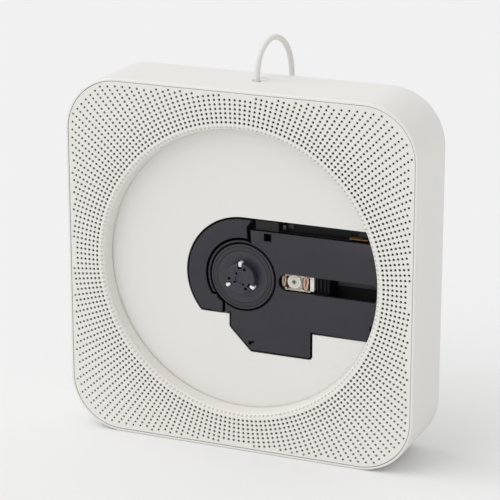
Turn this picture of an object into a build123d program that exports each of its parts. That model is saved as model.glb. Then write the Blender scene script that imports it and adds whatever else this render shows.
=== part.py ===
"""Wall mounted disc player: square case, perforated front with an open round disc well, exposed
traverse mechanism, pull-cord switch, two speakers and a steel wall bracket. Millimetres.

X runs left to right, Z up, and the front faces -Y. The origin is the middle of the underside."""
import os
from math import cos, pi, radians, sin, sqrt, tan

from build123d import *

# ---- driving dimensions: case ----
case_size = 172.0
case_depth = 38.0
bracket_standoff = 3.0
corner_radius = 26.0
wall = 2.6
rear_wall = 2.4
rim = 1.25
seam = 0.10

# ---- driving dimensions: front and disc well ----
plate_thickness = 2.2
opening_radius = 69.7
lip_radius = 1.95
well_depth = 7.5
well_radius = 66.6
skirt_thickness = 1.8
well_floor_radius = 71.8
floor_thickness = 2.0

# ---- driving dimensions: mechanism, measured from the hub centre ----
hub_drop = 3.2
cover_proud = 0.3
cover_thickness = 1.6
crescent_radius = 28.0
pocket_radius = 15.8
platter_radius = 15.2
hub_radius = 7.3
lens_radius_inner = 24.6
slot_half_height = 4.2
slot_middle = -0.3
slot_left = 17.5
slot_right = 65.1

# ---- driving dimensions: cord ----
cord_diameter = 2.7
cord_x = 1.0
cord_y = 0.8
coil_mean_radius = 15.0
coil_columns = 4
coil_layers = 4
coil_lift = 0.8
coil_centre = (-30.0, 46.0)

# ---- places worked out from them ----
half = case_size / 2
mid_z = half
hub_z = mid_z - hub_drop
back_y = (case_depth - bracket_standoff) / 2
front_y = back_y - case_depth
wall_y = back_y + bracket_standoff
inner_back_y = back_y - rear_wall
ledge_y = front_y + plate_thickness
floor_y = front_y + well_depth
floor_back_y = floor_y + floor_thickness
cover_y = floor_y - cover_proud
cover_back_y = cover_y + cover_thickness
web_front_y = -7.0
web_back_y = -5.0
cover_edge_radius = well_radius - 0.4
overlap = 0.5

case_screw_points = [(sx * 78.0, sz * 40.0) for sx in (-1, 1) for sz in (-1, 1)]
well_screw_points = [(sx * 54.0, sz * 38.0) for sx in (-1, 1) for sz in (-1, 1)]
damper_points = [(-26.0, 26.0), (-26.0, -24.0), (40.0, 34.0), (46.0, -29.0)]
board_screw_points = [(sx * 40.0, sz * 16.0) for sx in (-1, 1) for sz in (-1, 1)]
board_centre_z = 116.0
board_front_y = 9.0
board_thickness = 1.6
split_y = -2.0
well_split_y = 4.0
button_xs = [-36.0, -18.0, 0.0, 18.0, 36.0]
button_names = ["skip_back", "skip_forward", "play", "volume_down", "volume_up"]
button_y = -2.0
speaker_offset = 62.0
speaker_radius = 17.0
bracket_z = 52.0
hook_xs = [-38.0, 38.0]
hook_y = 13.4

os.makedirs("parts", exist_ok=True)


def face_at(y, z=mid_z, x=0.0):
    """Sketch plane at depth y that faces the front: local x is X, local y is Z."""
    return Plane(origin=(x, y, z), x_dir=(1, 0, 0), z_dir=(0, -1, 0))


def turned_plane(z, x=0.0):
    """Half-plane for profiles turned about the Y axis: local x is the radius, local y is Y."""
    return Plane(origin=(x, 0, z), x_dir=(1, 0, 0), z_dir=(0, 0, 1))


def depth_axis(z, x=0.0):
    return Axis((x, 0, z), (0, 1, 0))


def save(built, name):
    built.part.label = name
    export_step(built.part, f"parts/{name}.step")


def turned(profile, z, x=0.0):
    """Solid of revolution about Y through (x, z), from a closed list of (radius, y) points."""
    with BuildPart() as solid:
        with BuildSketch(turned_plane(z, x)):
            with BuildLine():
                Polyline(*profile, close=True)
            make_face()
        revolve(axis=depth_axis(z, x))
    return solid


def screws_at(points, plane_z, seat_y, length, shank, head, head_height):
    """Pan head screws pointing to the front, heads behind seat_y."""
    with BuildPart() as screws:
        with BuildSketch(face_at(seat_y, plane_z)):
            with Locations(*points):
                Circle(shank)
        extrude(amount=length)
        with BuildSketch(face_at(seat_y + head_height, plane_z)):
            with Locations(*points):
                Circle(head)
        extrude(amount=head_height)
        head_backs = screws.faces().filter_by(Axis.Y).sort_by(Axis.Y)[-len(points):]
        chamfer(head_backs.edges(), head_height * 0.3)
    return screws


# ---- rear case: back wall, side walls, screw bosses ----
boss_radius = 3.5
screw_clearance = 1.7
head_recess = 3.1
head_recess_depth = 3.0
cord_hole_centre = (2.0, 3.0)
hook_slot_z = (45.0, 59.0)
hook_slot_width = 14.0
with BuildPart() as rear_case:
    with BuildSketch(face_at(back_y)):
        RectangleRounded(case_size, case_size, corner_radius)
    extrude(amount=case_depth)
    front_edges = rear_case.faces().sort_by(Axis.Y)[0].edges()
    back_edges = rear_case.faces().sort_by(Axis.Y)[-1].edges()
    fillet(front_edges, 0.8)
    fillet(back_edges, 1.4)
    with BuildSketch(face_at(inner_back_y)):
        RectangleRounded(case_size - 2 * wall, case_size - 2 * wall, corner_radius - wall)
    extrude(amount=case_depth, mode=Mode.SUBTRACT)
    with BuildSketch(face_at(ledge_y)):
        RectangleRounded(case_size - 2 * rim, case_size - 2 * rim, corner_radius - rim)
    extrude(amount=case_depth, mode=Mode.SUBTRACT)
    # bosses for the front, the well and the board
    with BuildSketch(face_at(inner_back_y + overlap)):
        with Locations(*case_screw_points):
            Circle(boss_radius)
    extrude(amount=inner_back_y + overlap - split_y)
    with BuildSketch(face_at(inner_back_y + overlap)):
        with Locations(*well_screw_points):
            Circle(boss_radius)
    extrude(amount=inner_back_y + overlap - well_split_y)
    with BuildSketch(face_at(inner_back_y + overlap, board_centre_z)):
        with Locations(*board_screw_points):
            Circle(2.6)
    extrude(amount=inner_back_y + overlap - board_front_y - board_thickness)
    # screw holes from the back, with recesses for the heads
    with BuildSketch(face_at(back_y)):
        with Locations(*case_screw_points, *well_screw_points):
            Circle(screw_clearance)
    extrude(amount=case_depth, mode=Mode.SUBTRACT)
    with BuildSketch(face_at(back_y)):
        with Locations(*case_screw_points, *well_screw_points):
            Circle(head_recess)
    extrude(amount=head_recess_depth, mode=Mode.SUBTRACT)
    with BuildSketch(face_at(board_front_y + board_thickness, board_centre_z)):
        with Locations(*board_screw_points):
            Circle(1.25)
    extrude(amount=-3.5, mode=Mode.SUBTRACT)
    # slots for the bracket's hooks
    with BuildSketch(face_at(back_y + overlap, sum(hook_slot_z) / 2)):
        with Locations(*[(x, 0) for x in hook_xs]):
            RectangleRounded(hook_slot_width, hook_slot_z[1] - hook_slot_z[0], 1.5)
    extrude(amount=rear_wall + 2 * overlap, mode=Mode.SUBTRACT)
    # cord hole in the top wall and key holes in the bottom wall
    with BuildSketch(Plane.XY.offset(case_size - wall - overlap)):
        with Locations(cord_hole_centre):
            SlotOverall(10.0, 6.6, rotation=90)
    extrude(amount=wall + 2 * overlap, mode=Mode.SUBTRACT)
    with BuildSketch(Plane.XY.offset(-overlap)):
        with Locations(*[(x, button_y) for x in button_xs]):
            SlotOverall(11.4, 5.0)
    extrude(amount=wall + 2 * overlap, mode=Mode.SUBTRACT)
    # ribs that carry the key board
    with BuildSketch(Plane.XY.offset(11.1)):
        with Locations((-44.0, 4.8), (44.0, 4.8)):
            Rectangle(4.0, 21.6)
    extrude(amount=3.0)
save(rear_case, "rear_case")

# ---- front grille: flat plate, rolled lip and tapered skirt, screw posts ----
plate_half = half - rim - seam
skirt_outer = well_radius + skirt_thickness
lip_end = opening_radius - lip_radius
speaker_boss_points = []
for side in (-1, 1):
    for turn in (-1, 1):
        reach = (speaker_radius + 3.7) * sin(radians(45))
        speaker_boss_points.append((side * (speaker_offset + turn * reach), speaker_offset - turn * reach))
with BuildPart() as front_grille:
    with BuildSketch(face_at(ledge_y)):
        RectangleRounded(2 * plate_half, 2 * plate_half, corner_radius - rim - seam)
        Circle(opening_radius + 1.0, mode=Mode.SUBTRACT)
    extrude(amount=plate_thickness)
    with BuildSketch(turned_plane(mid_z)):
        with BuildLine():
            Line((opening_radius + 1.5, front_y), (opening_radius, front_y))
            TangentArc((opening_radius, front_y), (lip_end, front_y + lip_radius), tangent=(-1, 0))
            Line((lip_end, front_y + lip_radius), (well_radius, floor_y))
            Polyline((well_radius, floor_y), (skirt_outer, floor_y), (opening_radius + 0.1, ledge_y),
                     (opening_radius + 1.5, ledge_y), (opening_radius + 1.5, front_y))
        make_face()
    revolve(axis=depth_axis(mid_z))
    with BuildSketch(face_at(split_y)):
        with Locations(*case_screw_points):
            Circle(3.2)
    extrude(amount=split_y - ledge_y + overlap)
    with BuildSketch(face_at(split_y)):
        with Locations(*case_screw_points):
            Circle(1.5)
    extrude(amount=12.0, mode=Mode.SUBTRACT)
    with BuildSketch(face_at(-16.8)):
        with Locations(*speaker_boss_points):
            Circle(2.2)
    extrude(amount=-16.8 - ledge_y + overlap)
    with BuildSketch(face_at(-16.8)):
        with Locations(*speaker_boss_points):
            Circle(1.05)
    extrude(amount=2.6, mode=Mode.SUBTRACT)
save(front_grille, "front_grille")

with BuildPart() as grille_cloth:
    cloth_half = half - wall - 1.2
    with BuildSketch(face_at(ledge_y + 0.4)):
        RectangleRounded(2 * cloth_half, 2 * cloth_half, corner_radius - wall - 1.2)
        Circle(opening_radius + 1.9, mode=Mode.SUBTRACT)
        with Locations(*case_screw_points):
            Circle(3.6, mode=Mode.SUBTRACT)
        with Locations(*speaker_boss_points):
            Circle(2.6, mode=Mode.SUBTRACT)
    extrude(amount=0.4)
save(grille_cloth, "grille_cloth")


# ---- mechanism outlines, local to the hub centre ----
crescent_low = -18.6
cover_top = 22.9
channel_top = 28.0
step_low = -23.2
bump_right = 34.1
bump_low = -35.7
bump_slope_top = -24.9
bump_left = -6.65
cover_gap = 0.35


def edge_reach(local_z, radius):
    """Distance in X from the hub's centre line to a circle about the case's centre."""
    return sqrt(radius ** 2 - (local_z - hub_drop) ** 2)


def mechanism_area(grow):
    """Outline of the whole black area in the well floor, grown all round by grow."""
    top = channel_top + grow
    radius = cover_edge_radius + grow
    with BuildSketch() as area:
        with BuildLine():
            Line((edge_reach(step_low - grow, radius), step_low - grow), (bump_right + grow, step_low - grow))
            Line((bump_right + grow, step_low - grow), (bump_right + grow, bump_low - grow))
            Line((bump_right + grow, bump_low - grow), (4.0 - grow * 0.4, bump_low - grow))
            Line((4.0 - grow * 0.4, bump_low - grow), (bump_left - grow, bump_slope_top - grow * 0.4))
            Line((bump_left - grow, bump_slope_top - grow * 0.4), (bump_left - grow, crescent_low - grow))
            outer = crescent_radius + grow
            low_x = -sqrt(outer ** 2 - (crescent_low - grow) ** 2)
            Line((bump_left - grow, crescent_low - grow), (low_x, crescent_low - grow))
            ThreePointArc((low_x, crescent_low - grow), (-outer * cos(0.3), outer * sin(0.3)), (0, outer))
            Line((0, top), (edge_reach(top, radius), top))
            ThreePointArc((edge_reach(top, radius), top), (radius, hub_drop),
                          (edge_reach(step_low - grow, radius), step_low - grow))
        make_face()
        low_corners = [v for v in area.vertices() if v.Y < step_low - 1 and abs(v.X - 4.0) > 2]
        fillet(low_corners, 1.6 + grow)
    return area.sketch


# ---- disc well: round floor with the mechanism's opening and its posts ----
with BuildPart() as disc_well:
    with BuildSketch(face_at(floor_back_y)):
        Circle(well_floor_radius)
    extrude(amount=floor_thickness)
    with BuildSketch(face_at(floor_back_y + overlap, hub_z)):
        add(mechanism_area(cover_gap))
    extrude(amount=floor_thickness + 2 * overlap, mode=Mode.SUBTRACT)
    with BuildSketch(face_at(well_split_y)):
        with Locations(*well_screw_points):
            Circle(boss_radius)
    extrude(amount=well_split_y - floor_back_y + overlap)
    with BuildSketch(face_at(well_split_y)):
        with Locations(*well_screw_points):
            Circle(1.5)
    extrude(amount=11.0, mode=Mode.SUBTRACT)
    with BuildSketch(face_at(floor_back_y + 1.5, hub_z)):
        with Locations(*damper_points):
            Circle(boss_radius)
    extrude(amount=1.5 + overlap)
    with BuildSketch(face_at(floor_back_y + 1.5, hub_z)):
        with Locations(*damper_points):
            Circle(1.48)
    extrude(amount=2.6, mode=Mode.SUBTRACT)
save(disc_well, "disc_well")

# ---- mechanism surround: the crescent beside the turntable, held behind the well floor ----
with BuildPart() as mech_surround:
    with BuildSketch(face_at(cover_y + 1.7, hub_z)):
        with BuildLine():
            low_x = -sqrt(crescent_radius ** 2 - crescent_low ** 2)
            Line((5.6, channel_top), (0, channel_top))
            ThreePointArc((0, crescent_radius), (-crescent_radius * cos(0.3), crescent_radius * sin(0.3)),
                          (low_x, crescent_low))
            Line((low_x, crescent_low), (-10.2, crescent_low))
            Line((-10.2, crescent_low), (-10.2, -13.0))
            ThreePointArc((-10.2, -13.0), (-11.8, -11.6), (-13.1, -10.1))
            Line((-13.1, -10.1), (-15.4, -10.1))
            ThreePointArc((-15.4, -10.1), (-13.0, 13.0), (2.4, 18.24))
            Line((2.4, 18.24), (2.4, 23.5))
            Line((2.4, 23.5), (5.6, channel_top))
        make_face()
    extrude(amount=1.7)
    corner_edges = mech_surround.edges().filter_by(Axis.Y)
    fillet(corner_edges.group_by(Axis.X)[0], 3.0)
    with BuildSketch(face_at(floor_back_y + 1.2, hub_z)):
        Circle(crescent_radius + 4.0)
        Circle(24.0, mode=Mode.SUBTRACT)
        with Locations((-15.0, 7.0)):
            Rectangle(34.0, 50.0, mode=Mode.INTERSECT)
        with Locations(*damper_points):
            Circle(boss_radius + 0.4, mode=Mode.SUBTRACT)
    extrude(amount=1.2)
    with BuildSketch(face_at(floor_back_y + 1.2, hub_z)):
        Circle(crescent_radius - 0.2)
        Circle(24.0, mode=Mode.SUBTRACT)
        with Locations((-15.0, 7.0)):
            Rectangle(34.0, 50.0, mode=Mode.INTERSECT)
    extrude(amount=floor_back_y + 1.2 - cover_y - 1.0)
save(mech_surround, "mech_surround")

# ---- mechanism cover: turntable pocket, pickup slot, small holes ----
ring_gap_inner = 17.45
with BuildPart() as mech_cover:
    with BuildSketch(face_at(cover_back_y, hub_z)):
        with BuildLine():
            right_top = edge_reach(cover_top, cover_edge_radius)
            right_low = edge_reach(step_low, cover_edge_radius)
            Line((right_top, cover_top), (3.6, cover_top))
            Line((3.6, cover_top), (3.6, 17.07))
            ThreePointArc((3.6, 17.07), (-ring_gap_inner, 0), (-14.9, -9.08))
            Line((-14.9, -9.08), (-9.0, -9.08))
            Line((-9.0, -9.08), (-9.0, crescent_low + 0.3))
            Line((-9.0, crescent_low + 0.3), (bump_left, crescent_low + 0.3))
            Line((bump_left, crescent_low + 0.3), (bump_left, bump_slope_top))
            Line((bump_left, bump_slope_top), (4.0, bump_low))
            Line((4.0, bump_low), (bump_right, bump_low))
            Line((bump_right, bump_low), (bump_right, step_low))
            Line((bump_right, step_low), (right_low, step_low))
            ThreePointArc((right_low, step_low), (cover_edge_radius, hub_drop), (right_top, cover_top))
        make_face()
        Circle(pocket_radius, mode=Mode.SUBTRACT)
        slot_length = slot_right - slot_left
        with Locations(((slot_left + slot_right) / 2, slot_middle)):
            SlotOverall(slot_length, 2 * slot_half_height, mode=Mode.SUBTRACT)
        with Locations(((slot_left + slot_right) / 2 + 6.0, slot_middle)):
            RectangleRounded(slot_length - 12.0, 2 * slot_half_height, 1.6, mode=Mode.SUBTRACT)
        with Locations((12.2, 20.1)):
            Rectangle(3.7, 3.7, mode=Mode.SUBTRACT)
        with Locations((3.6, -31.6)):
            Rectangle(1.6, 2.0, mode=Mode.SUBTRACT)
        with Locations((4.6, -31.1)):
            Rectangle(2.2, 1.0, mode=Mode.SUBTRACT)
        with Locations((63.4, -17.7)):
            Rectangle(2.4, 3.4, mode=Mode.SUBTRACT)
    extrude(amount=cover_thickness)
    outline = mech_cover.edges().filter_by(Axis.Y)
    bump_corners = [e for e in outline if e.center().Z < hub_z + step_low - 1 and abs(e.center().X - 4.0) > 2]
    fillet(bump_corners, 1.6)
save(mech_cover, "mech_cover")

# ---- traverse chassis: web, walls, rod blocks and the four damped ears ----
opening_low = -21.5
opening_high = 21.0
carriage_left = 17.0
carriage_right = 41.0
rod_y = -1.5
rod_radius = 1.5
rod_zs = {"main": 18.0, "sub": -16.0}
gear_point = (30.0, -24.4)
motor_point = (19.6, -27.8)
with BuildPart() as traverse_chassis:
    with BuildSketch(face_at(web_back_y, hub_z)) as web_outline:
        with Locations((29.5, 1.55)):
            Rectangle(97.0, 52.1)
        with Locations((14.0, -30.0)):
            Rectangle(40.0, 12.0)
        with Locations(*damper_points):
            Circle(5.6)
        with Locations((-22.5, 23.2), (-22.5, -21.2), (46.0, -26.0)):
            Rectangle(8.0, 8.0)
        with Locations((40.0, 30.5)):
            Rectangle(8.0, 7.0)
        with Locations(*damper_points):
            Circle(3.25, mode=Mode.SUBTRACT)
        with Locations((45.5, (opening_low + opening_high) / 2)):
            Rectangle(60.0, opening_high - opening_low, mode=Mode.SUBTRACT)
        Circle(4.0, mode=Mode.SUBTRACT)
        with Locations(motor_point):
            Circle(1.6, mode=Mode.SUBTRACT)
        with Locations((55.5, 23.75)):
            Rectangle(10.0, 1.3, mode=Mode.SUBTRACT)
    extrude(amount=web_back_y - web_front_y)
    # walls that carry the cover along both sides of the carriage opening
    with BuildSketch(face_at(web_front_y + overlap, hub_z)):
        with Locations((41.0, 21.95)):
            Rectangle(34.0, 1.5)
        with Locations((50.0, -22.4)):
            Rectangle(16.0, 1.4)
        with Locations((8.0, 20.0), (2.0, -30.0)):
            Circle(2.2)
    extrude(amount=web_front_y + overlap - cover_back_y)
    # blocks at the two ends of the open channel
    with BuildSketch(face_at(web_front_y + overlap, hub_z)):
        with Locations((11.65, 25.35)):
            Rectangle(11.1, 4.4)
    extrude(amount=web_front_y + overlap - cover_back_y + 0.6)
    with BuildSketch(face_at(web_front_y + overlap, hub_z)):
        with Locations((58.0, 26.35)):
            Rectangle(5.0, 2.4)
    extrude(amount=web_front_y + overlap - cover_back_y - 0.8)
    # end blocks behind the web, bored for the two rods
    for rod_z in rod_zs.values():
        for block_x in (14.3, 76.6):
            with BuildSketch(face_at(rod_y + 2.6, hub_z)):
                with Locations((block_x, rod_z)):
                    Rectangle(2.0, 7.0)
            extrude(amount=rod_y + 2.6 - web_back_y + overlap)
    for rod_z in rod_zs.values():
        with BuildSketch(Plane(origin=(10, rod_y, hub_z + rod_z), x_dir=(0, 1, 0), z_dir=(1, 0, 0))):
            Circle(rod_radius)
        extrude(amount=80.0, mode=Mode.SUBTRACT)
    with BuildSketch(face_at(web_back_y, hub_z)):
        with Locations(gear_point):
            Circle(1.0)
    extrude(amount=6.0)
save(traverse_chassis, "traverse_chassis")

for rod_name, rod_z in rod_zs.items():
    with BuildPart() as guide_rod:
        with BuildSketch(Plane(origin=(13.0, rod_y, hub_z + rod_z), x_dir=(0, 1, 0), z_dir=(1, 0, 0))):
            Circle(rod_radius)
        extrude(amount=64.9)
        chamfer(guide_rod.edges().filter_by(GeomType.CIRCLE), 0.3)
    save(guide_rod, f"guide_rod_{rod_name}")

with BuildPart() as rod_clips:
    with BuildSketch(face_at(web_front_y, hub_z)):
        with Locations((20.4, 24.9), (64.5, 24.9)):
            Rectangle(4.6, 2.0)
    extrude(amount=0.4)
    with BuildSketch(face_at(web_front_y - 0.3, hub_z)):
        with Locations((19.0, 24.9), (65.9, 24.9)):
            Rectangle(1.6, 2.0)
    extrude(amount=2.4)
save(rod_clips, "rod_clips")

# ---- rubber dampers and their shouldered screws ----
with BuildPart() as damper_bushes:
    for damper in damper_points:
        bush_x, bush_z = damper[0], hub_z + damper[1]
        with BuildSketch(turned_plane(bush_z, bush_x)):
            with BuildLine():
                Polyline((1.6, -9.5), (4.0, -9.5), (4.4, -9.0), (4.4, -7.0), (3.2, -7.0), (3.2, -5.0),
                         (4.4, -5.0), (4.4, -3.4), (4.0, -2.9), (1.6, -2.9), close=True)
            make_face()
        revolve(axis=depth_axis(bush_z, bush_x))
save(damper_bushes, "damper_bushes")
damper_screws = screws_at(damper_points, hub_z, -2.9, 9.0, 1.45, 3.6, 1.6)
save(damper_screws, "damper_screws")

# ---- spindle motor, shaft, turntable, hub and claws ----
with BuildPart() as spindle_motor:
    with BuildSketch(face_at(6.0, hub_z)):
        Circle(12.0)
    extrude(amount=6.0 - web_back_y)
    fillet(spindle_motor.faces().sort_by(Axis.Y)[-1].edges(), 1.0)
    with BuildSketch(face_at(web_back_y + overlap, hub_z)):
        Circle(3.8)
    extrude(amount=overlap + 1.8)
    with BuildSketch(face_at(1.5, hub_z)):
        Circle(1.05)
    extrude(amount=9.0, mode=Mode.SUBTRACT)
save(spindle_motor, "spindle_motor")

platter_y = floor_y - 0.2
hub_front_y = front_y + 3.4
with BuildPart() as spindle_shaft:
    with BuildSketch(face_at(1.4, hub_z)):
        Circle(1.0)
    extrude(amount=1.4 - hub_front_y - 0.9)
save(spindle_shaft, "spindle_shaft")

turntable = turned([(1.0, -8.6), (3.0, -8.6), (3.0, platter_y + 1.6), (platter_radius - 0.5, platter_y + 1.6),
                    (platter_radius, platter_y + 1.1), (platter_radius, platter_y + 0.3),
                    (platter_radius - 0.3, platter_y), (12.2, platter_y), (11.9, platter_y + 0.35),
                    (8.4, platter_y + 0.35), (8.1, platter_y), (1.0, platter_y)], hub_z)
save(turntable, "turntable")

turntable_mat = turned([(12.4, platter_y - 0.35), (12.55, platter_y - 0.5), (14.25, platter_y - 0.5),
                        (14.4, platter_y - 0.35), (14.4, platter_y), (12.4, platter_y)], hub_z)
save(turntable_mat, "turntable_mat")

claw_turns = [90.0, 210.0, 330.0]
claw_width = 1.7
with BuildPart() as disc_hub:
    with BuildSketch(face_at(platter_y, hub_z)):
        Circle(hub_radius)
    extrude(amount=platter_y - hub_front_y)
    fillet(disc_hub.faces().sort_by(Axis.Y)[0].edges(), 0.9)
    with BuildSketch(face_at(hub_front_y + 0.5, hub_z)):
        Circle(2.2)
    extrude(amount=1.0, mode=Mode.SUBTRACT)
    with BuildSketch(face_at(platter_y, hub_z)):
        Circle(1.0)
    extrude(amount=platter_y - hub_front_y - 0.9, mode=Mode.SUBTRACT)
    with BuildSketch(face_at(platter_y - 0.8, hub_z)):
        for turn in claw_turns:
            with Locations(Location((6.5 * cos(radians(turn)), 6.5 * sin(radians(turn)), 0), (0, 0, turn))):
                Rectangle(3.7, claw_width + 0.2)
    extrude(amount=5.0, mode=Mode.SUBTRACT)
    with BuildSketch(face_at(hub_front_y + 0.7, hub_z)):
        for turn in (63.0, 183.0, 303.0):
            with Locations((5.3 * cos(radians(turn)), 5.3 * sin(radians(turn)))):
                Circle(0.55)
        for turn in (124.0, 214.0, 304.0):
            with Locations((3.0 * cos(radians(turn)), 3.0 * sin(radians(turn)))):
                Circle(0.45)
    extrude(amount=2.0, mode=Mode.SUBTRACT)
save(disc_hub, "disc_hub")

for number, turn in enumerate(claw_turns, 1):
    claw_middle = 6.8
    with BuildPart() as hub_claw:
        with BuildSketch(face_at(platter_y - 0.9, hub_z)):
            with Locations(Location((claw_middle * cos(radians(turn)), claw_middle * sin(radians(turn)), 0),
                                    (0, 0, turn))):
                RectangleRounded(2.4, claw_width, 0.6)
        extrude(amount=2.7)
        fillet(hub_claw.faces().sort_by(Axis.Y)[0].edges(), 0.4)
    save(hub_claw, f"hub_claw_{number}")

# ---- carriage: base, rack, actuator, lens ----
carriage_front_y = -9.2
carriage_back_y = 1.8
with BuildPart() as pickup_base:
    carriage_mid = (carriage_left + carriage_right) / 2
    with BuildSketch(face_at(carriage_back_y, hub_z)):
        with Locations((carriage_mid, 0.95)):
            RectangleRounded(carriage_right - carriage_left, 39.1, 1.5)
    extrude(amount=carriage_back_y - carriage_front_y)
    with BuildSketch(face_at(-7.4, hub_z)):
        with Locations((25.2, 0)):
            Rectangle(14.8, 15.0)
    extrude(amount=8.0, mode=Mode.SUBTRACT)
    for rib_x in (35.6, 37.4, 39.2):
        with BuildSketch(face_at(carriage_front_y + overlap, hub_z)):
            with Locations((rib_x, 0)):
                Rectangle(0.9, 7.0)
        extrude(amount=overlap + 1.2)
    for rod_z in rod_zs.values():
        with BuildSketch(Plane(origin=(10, rod_y, hub_z + rod_z), x_dir=(0, 1, 0), z_dir=(1, 0, 0))):
            Circle(rod_radius + 0.05)
        extrude(amount=40.0, mode=Mode.SUBTRACT)
save(pickup_base, "pickup_base")

rack_left = -4.6
rack_right = 32.0
rack_pitch = 8 * pi / 15
with BuildPart() as pickup_rack:
    with BuildSketch(face_at(-7.6, hub_z)):
        with BuildLine():
            teeth = [(rack_right, -18.6), (rack_left, -18.6), (rack_left, -19.8)]
            tooth_count = int((rack_right - rack_left) / rack_pitch)
            for index in range(tooth_count):
                tooth_x = rack_left + rack_pitch * index
                teeth.append((tooth_x + rack_pitch * 0.3, -20.3))
                teeth.append((tooth_x + rack_pitch * 0.6, -20.3))
                teeth.append((tooth_x + rack_pitch * 0.95, -19.8))
            teeth.append((rack_right, -19.8))
            Polyline(*teeth, close=True)
        make_face()
    extrude(amount=1.55)
save(pickup_rack, "pickup_rack")

with BuildPart() as actuator_yoke:
    with BuildSketch(face_at(-7.4, hub_z)):
        with Locations((25.2, 0)):
            RectangleRounded(14.0, 14.0, 1.0)
    extrude(amount=0.8)
    with BuildSketch(face_at(-8.0, hub_z)):
        with Locations((19.0, 0), (31.2, 0)):
            Rectangle(0.9, 10.0)
    extrude(amount=2.6)
save(actuator_yoke, "actuator_yoke")

with BuildPart() as actuator_magnets:
    with BuildSketch(face_at(-8.2, hub_z)):
        with Locations((20.25, 0), (29.95, 0)):
            Rectangle(1.5, 8.0)
    extrude(amount=2.0)
save(actuator_magnets, "actuator_magnets")

with BuildPart() as suspension_block:
    with BuildSketch(face_at(-9.2, hub_z)):
        with Locations((33.3, 0)):
            RectangleRounded(2.2, 12.0, 0.4)
    extrude(amount=1.7)
save(suspension_block, "suspension_block")

lens_holder_front = -11.2
with BuildPart() as lens_holder:
    with BuildSketch(face_at(-8.9, hub_z)):
        with Locations((lens_radius_inner + 0.5, 0)):
            RectangleRounded(7.4, 8.6, 1.2)
    extrude(amount=1.3)
    with BuildSketch(face_at(-10.0, hub_z)):
        with Locations((lens_radius_inner, 0)):
            Circle(3.3)
    extrude(amount=-10.0 - lens_holder_front)
    with BuildSketch(face_at(-9.6, hub_z)):
        with Locations((lens_radius_inner, 0)):
            Circle(2.2)
    extrude(amount=3.0, mode=Mode.SUBTRACT)
save(lens_holder, "lens_holder")

with BuildPart() as objective_lens:
    with BuildSketch(turned_plane(hub_z, lens_radius_inner)):
        with BuildLine():
            Line((0, -9.6), (2.2, -9.6))
            Line((2.2, -9.6), (2.2, -10.9))
            TangentArc((0, -11.6), (2.2, -10.9), tangent=(1, 0))
            Line((0, -11.6), (0, -9.6))
        make_face()
    revolve(axis=depth_axis(hub_z, lens_radius_inner))
save(objective_lens, "objective_lens")


# ---- feed motor and gears ----
def tooth_points(centre, tip_radius, count, tooth_depth):
    """Outline of a gear with trapezoid teeth, local to the hub centre."""
    points = []
    for index in range(count):
        for part_turn, radius in ((-0.32, tip_radius - tooth_depth), (-0.14, tip_radius),
                                  (0.14, tip_radius), (0.32, tip_radius - tooth_depth)):
            angle = 2 * pi * (index + part_turn) / count
            points.append((centre[0] + radius * cos(angle), centre[1] + radius * sin(angle)))
    return points


with BuildPart() as feed_gear:
    with BuildSketch(face_at(-9.6, hub_z)):
        with BuildLine():
            Polyline(*tooth_points(gear_point, 8.95, 36, 0.8), close=True)
        make_face()
    extrude(amount=1.2)
    with BuildSketch(face_at(-7.5, hub_z)):
        with BuildLine():
            Polyline(*tooth_points(gear_point, 3.8, 15, 0.7), close=True)
        make_face()
    extrude(amount=2.2)
    with BuildSketch(face_at(-7.0, hub_z)):
        with Locations(gear_point):
            Circle(1.06)
    extrude(amount=6.0, mode=Mode.SUBTRACT)
save(feed_gear, "feed_gear")

with BuildPart() as feed_pinion:
    with BuildSketch(face_at(-9.6, hub_z)):
        with BuildLine():
            Polyline(*tooth_points(motor_point, 1.7, 8, 0.5), close=True)
        make_face()
    extrude(amount=1.2)
    with BuildSketch(face_at(-2.0, hub_z)):
        with Locations(motor_point):
            Circle(0.75)
    extrude(amount=8.5)
save(feed_pinion, "feed_pinion")

with BuildPart() as feed_motor:
    with BuildSketch(face_at(7.0, hub_z)):
        with Locations(motor_point):
            Circle(7.9)
    extrude(amount=7.0 - web_back_y)
    fillet(feed_motor.faces().sort_by(Axis.Y)[-1].edges(), 0.8)
    with BuildSketch(face_at(-1.9, hub_z)):
        with Locations(motor_point):
            Circle(0.82)
    extrude(amount=4.0, mode=Mode.SUBTRACT)
save(feed_motor, "feed_motor")

# ---- main board and what is on it ----
with BuildPart() as main_board:
    with BuildSketch(face_at(board_front_y + board_thickness, board_centre_z)):
        Rectangle(88.0, 40.0)
        with Locations((53.0, -10.0)):
            Rectangle(20.0, 16.0)
        with Locations(*board_screw_points):
            Circle(1.5, mode=Mode.SUBTRACT)
    extrude(amount=board_thickness)
save(main_board, "main_board")
with BuildPart() as board_screws:
    with BuildSketch(face_at(board_front_y + 4.6, board_centre_z)):
        with Locations(*board_screw_points):
            Circle(1.2)
    extrude(amount=4.6)
    with BuildSketch(face_at(board_front_y, board_centre_z)):
        with Locations(*board_screw_points):
            Circle(2.4)
    extrude(amount=1.2)
save(board_screws, "board_screws")

with BuildPart() as board_chips:
    with BuildSketch(face_at(board_front_y, board_centre_z)):
        with Locations((-14.0, 2.0)):
            Rectangle(14.0, 14.0)
        with Locations((14.0, -6.0)):
            Rectangle(9.0, 6.0)
        with Locations((16.0, 8.0)):
            Rectangle(6.0, 9.0)
    extrude(amount=1.4)
save(board_chips, "board_chips")

with BuildPart() as capacitors:
    with BuildSketch(face_at(board_front_y, board_centre_z)):
        with Locations((-33.0, 8.0), (-33.0, -2.0), (30.0, 10.0), (30.0, 0.0)):
            Circle(3.2)
    extrude(amount=7.0)
save(capacitors, "capacitors")

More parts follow.
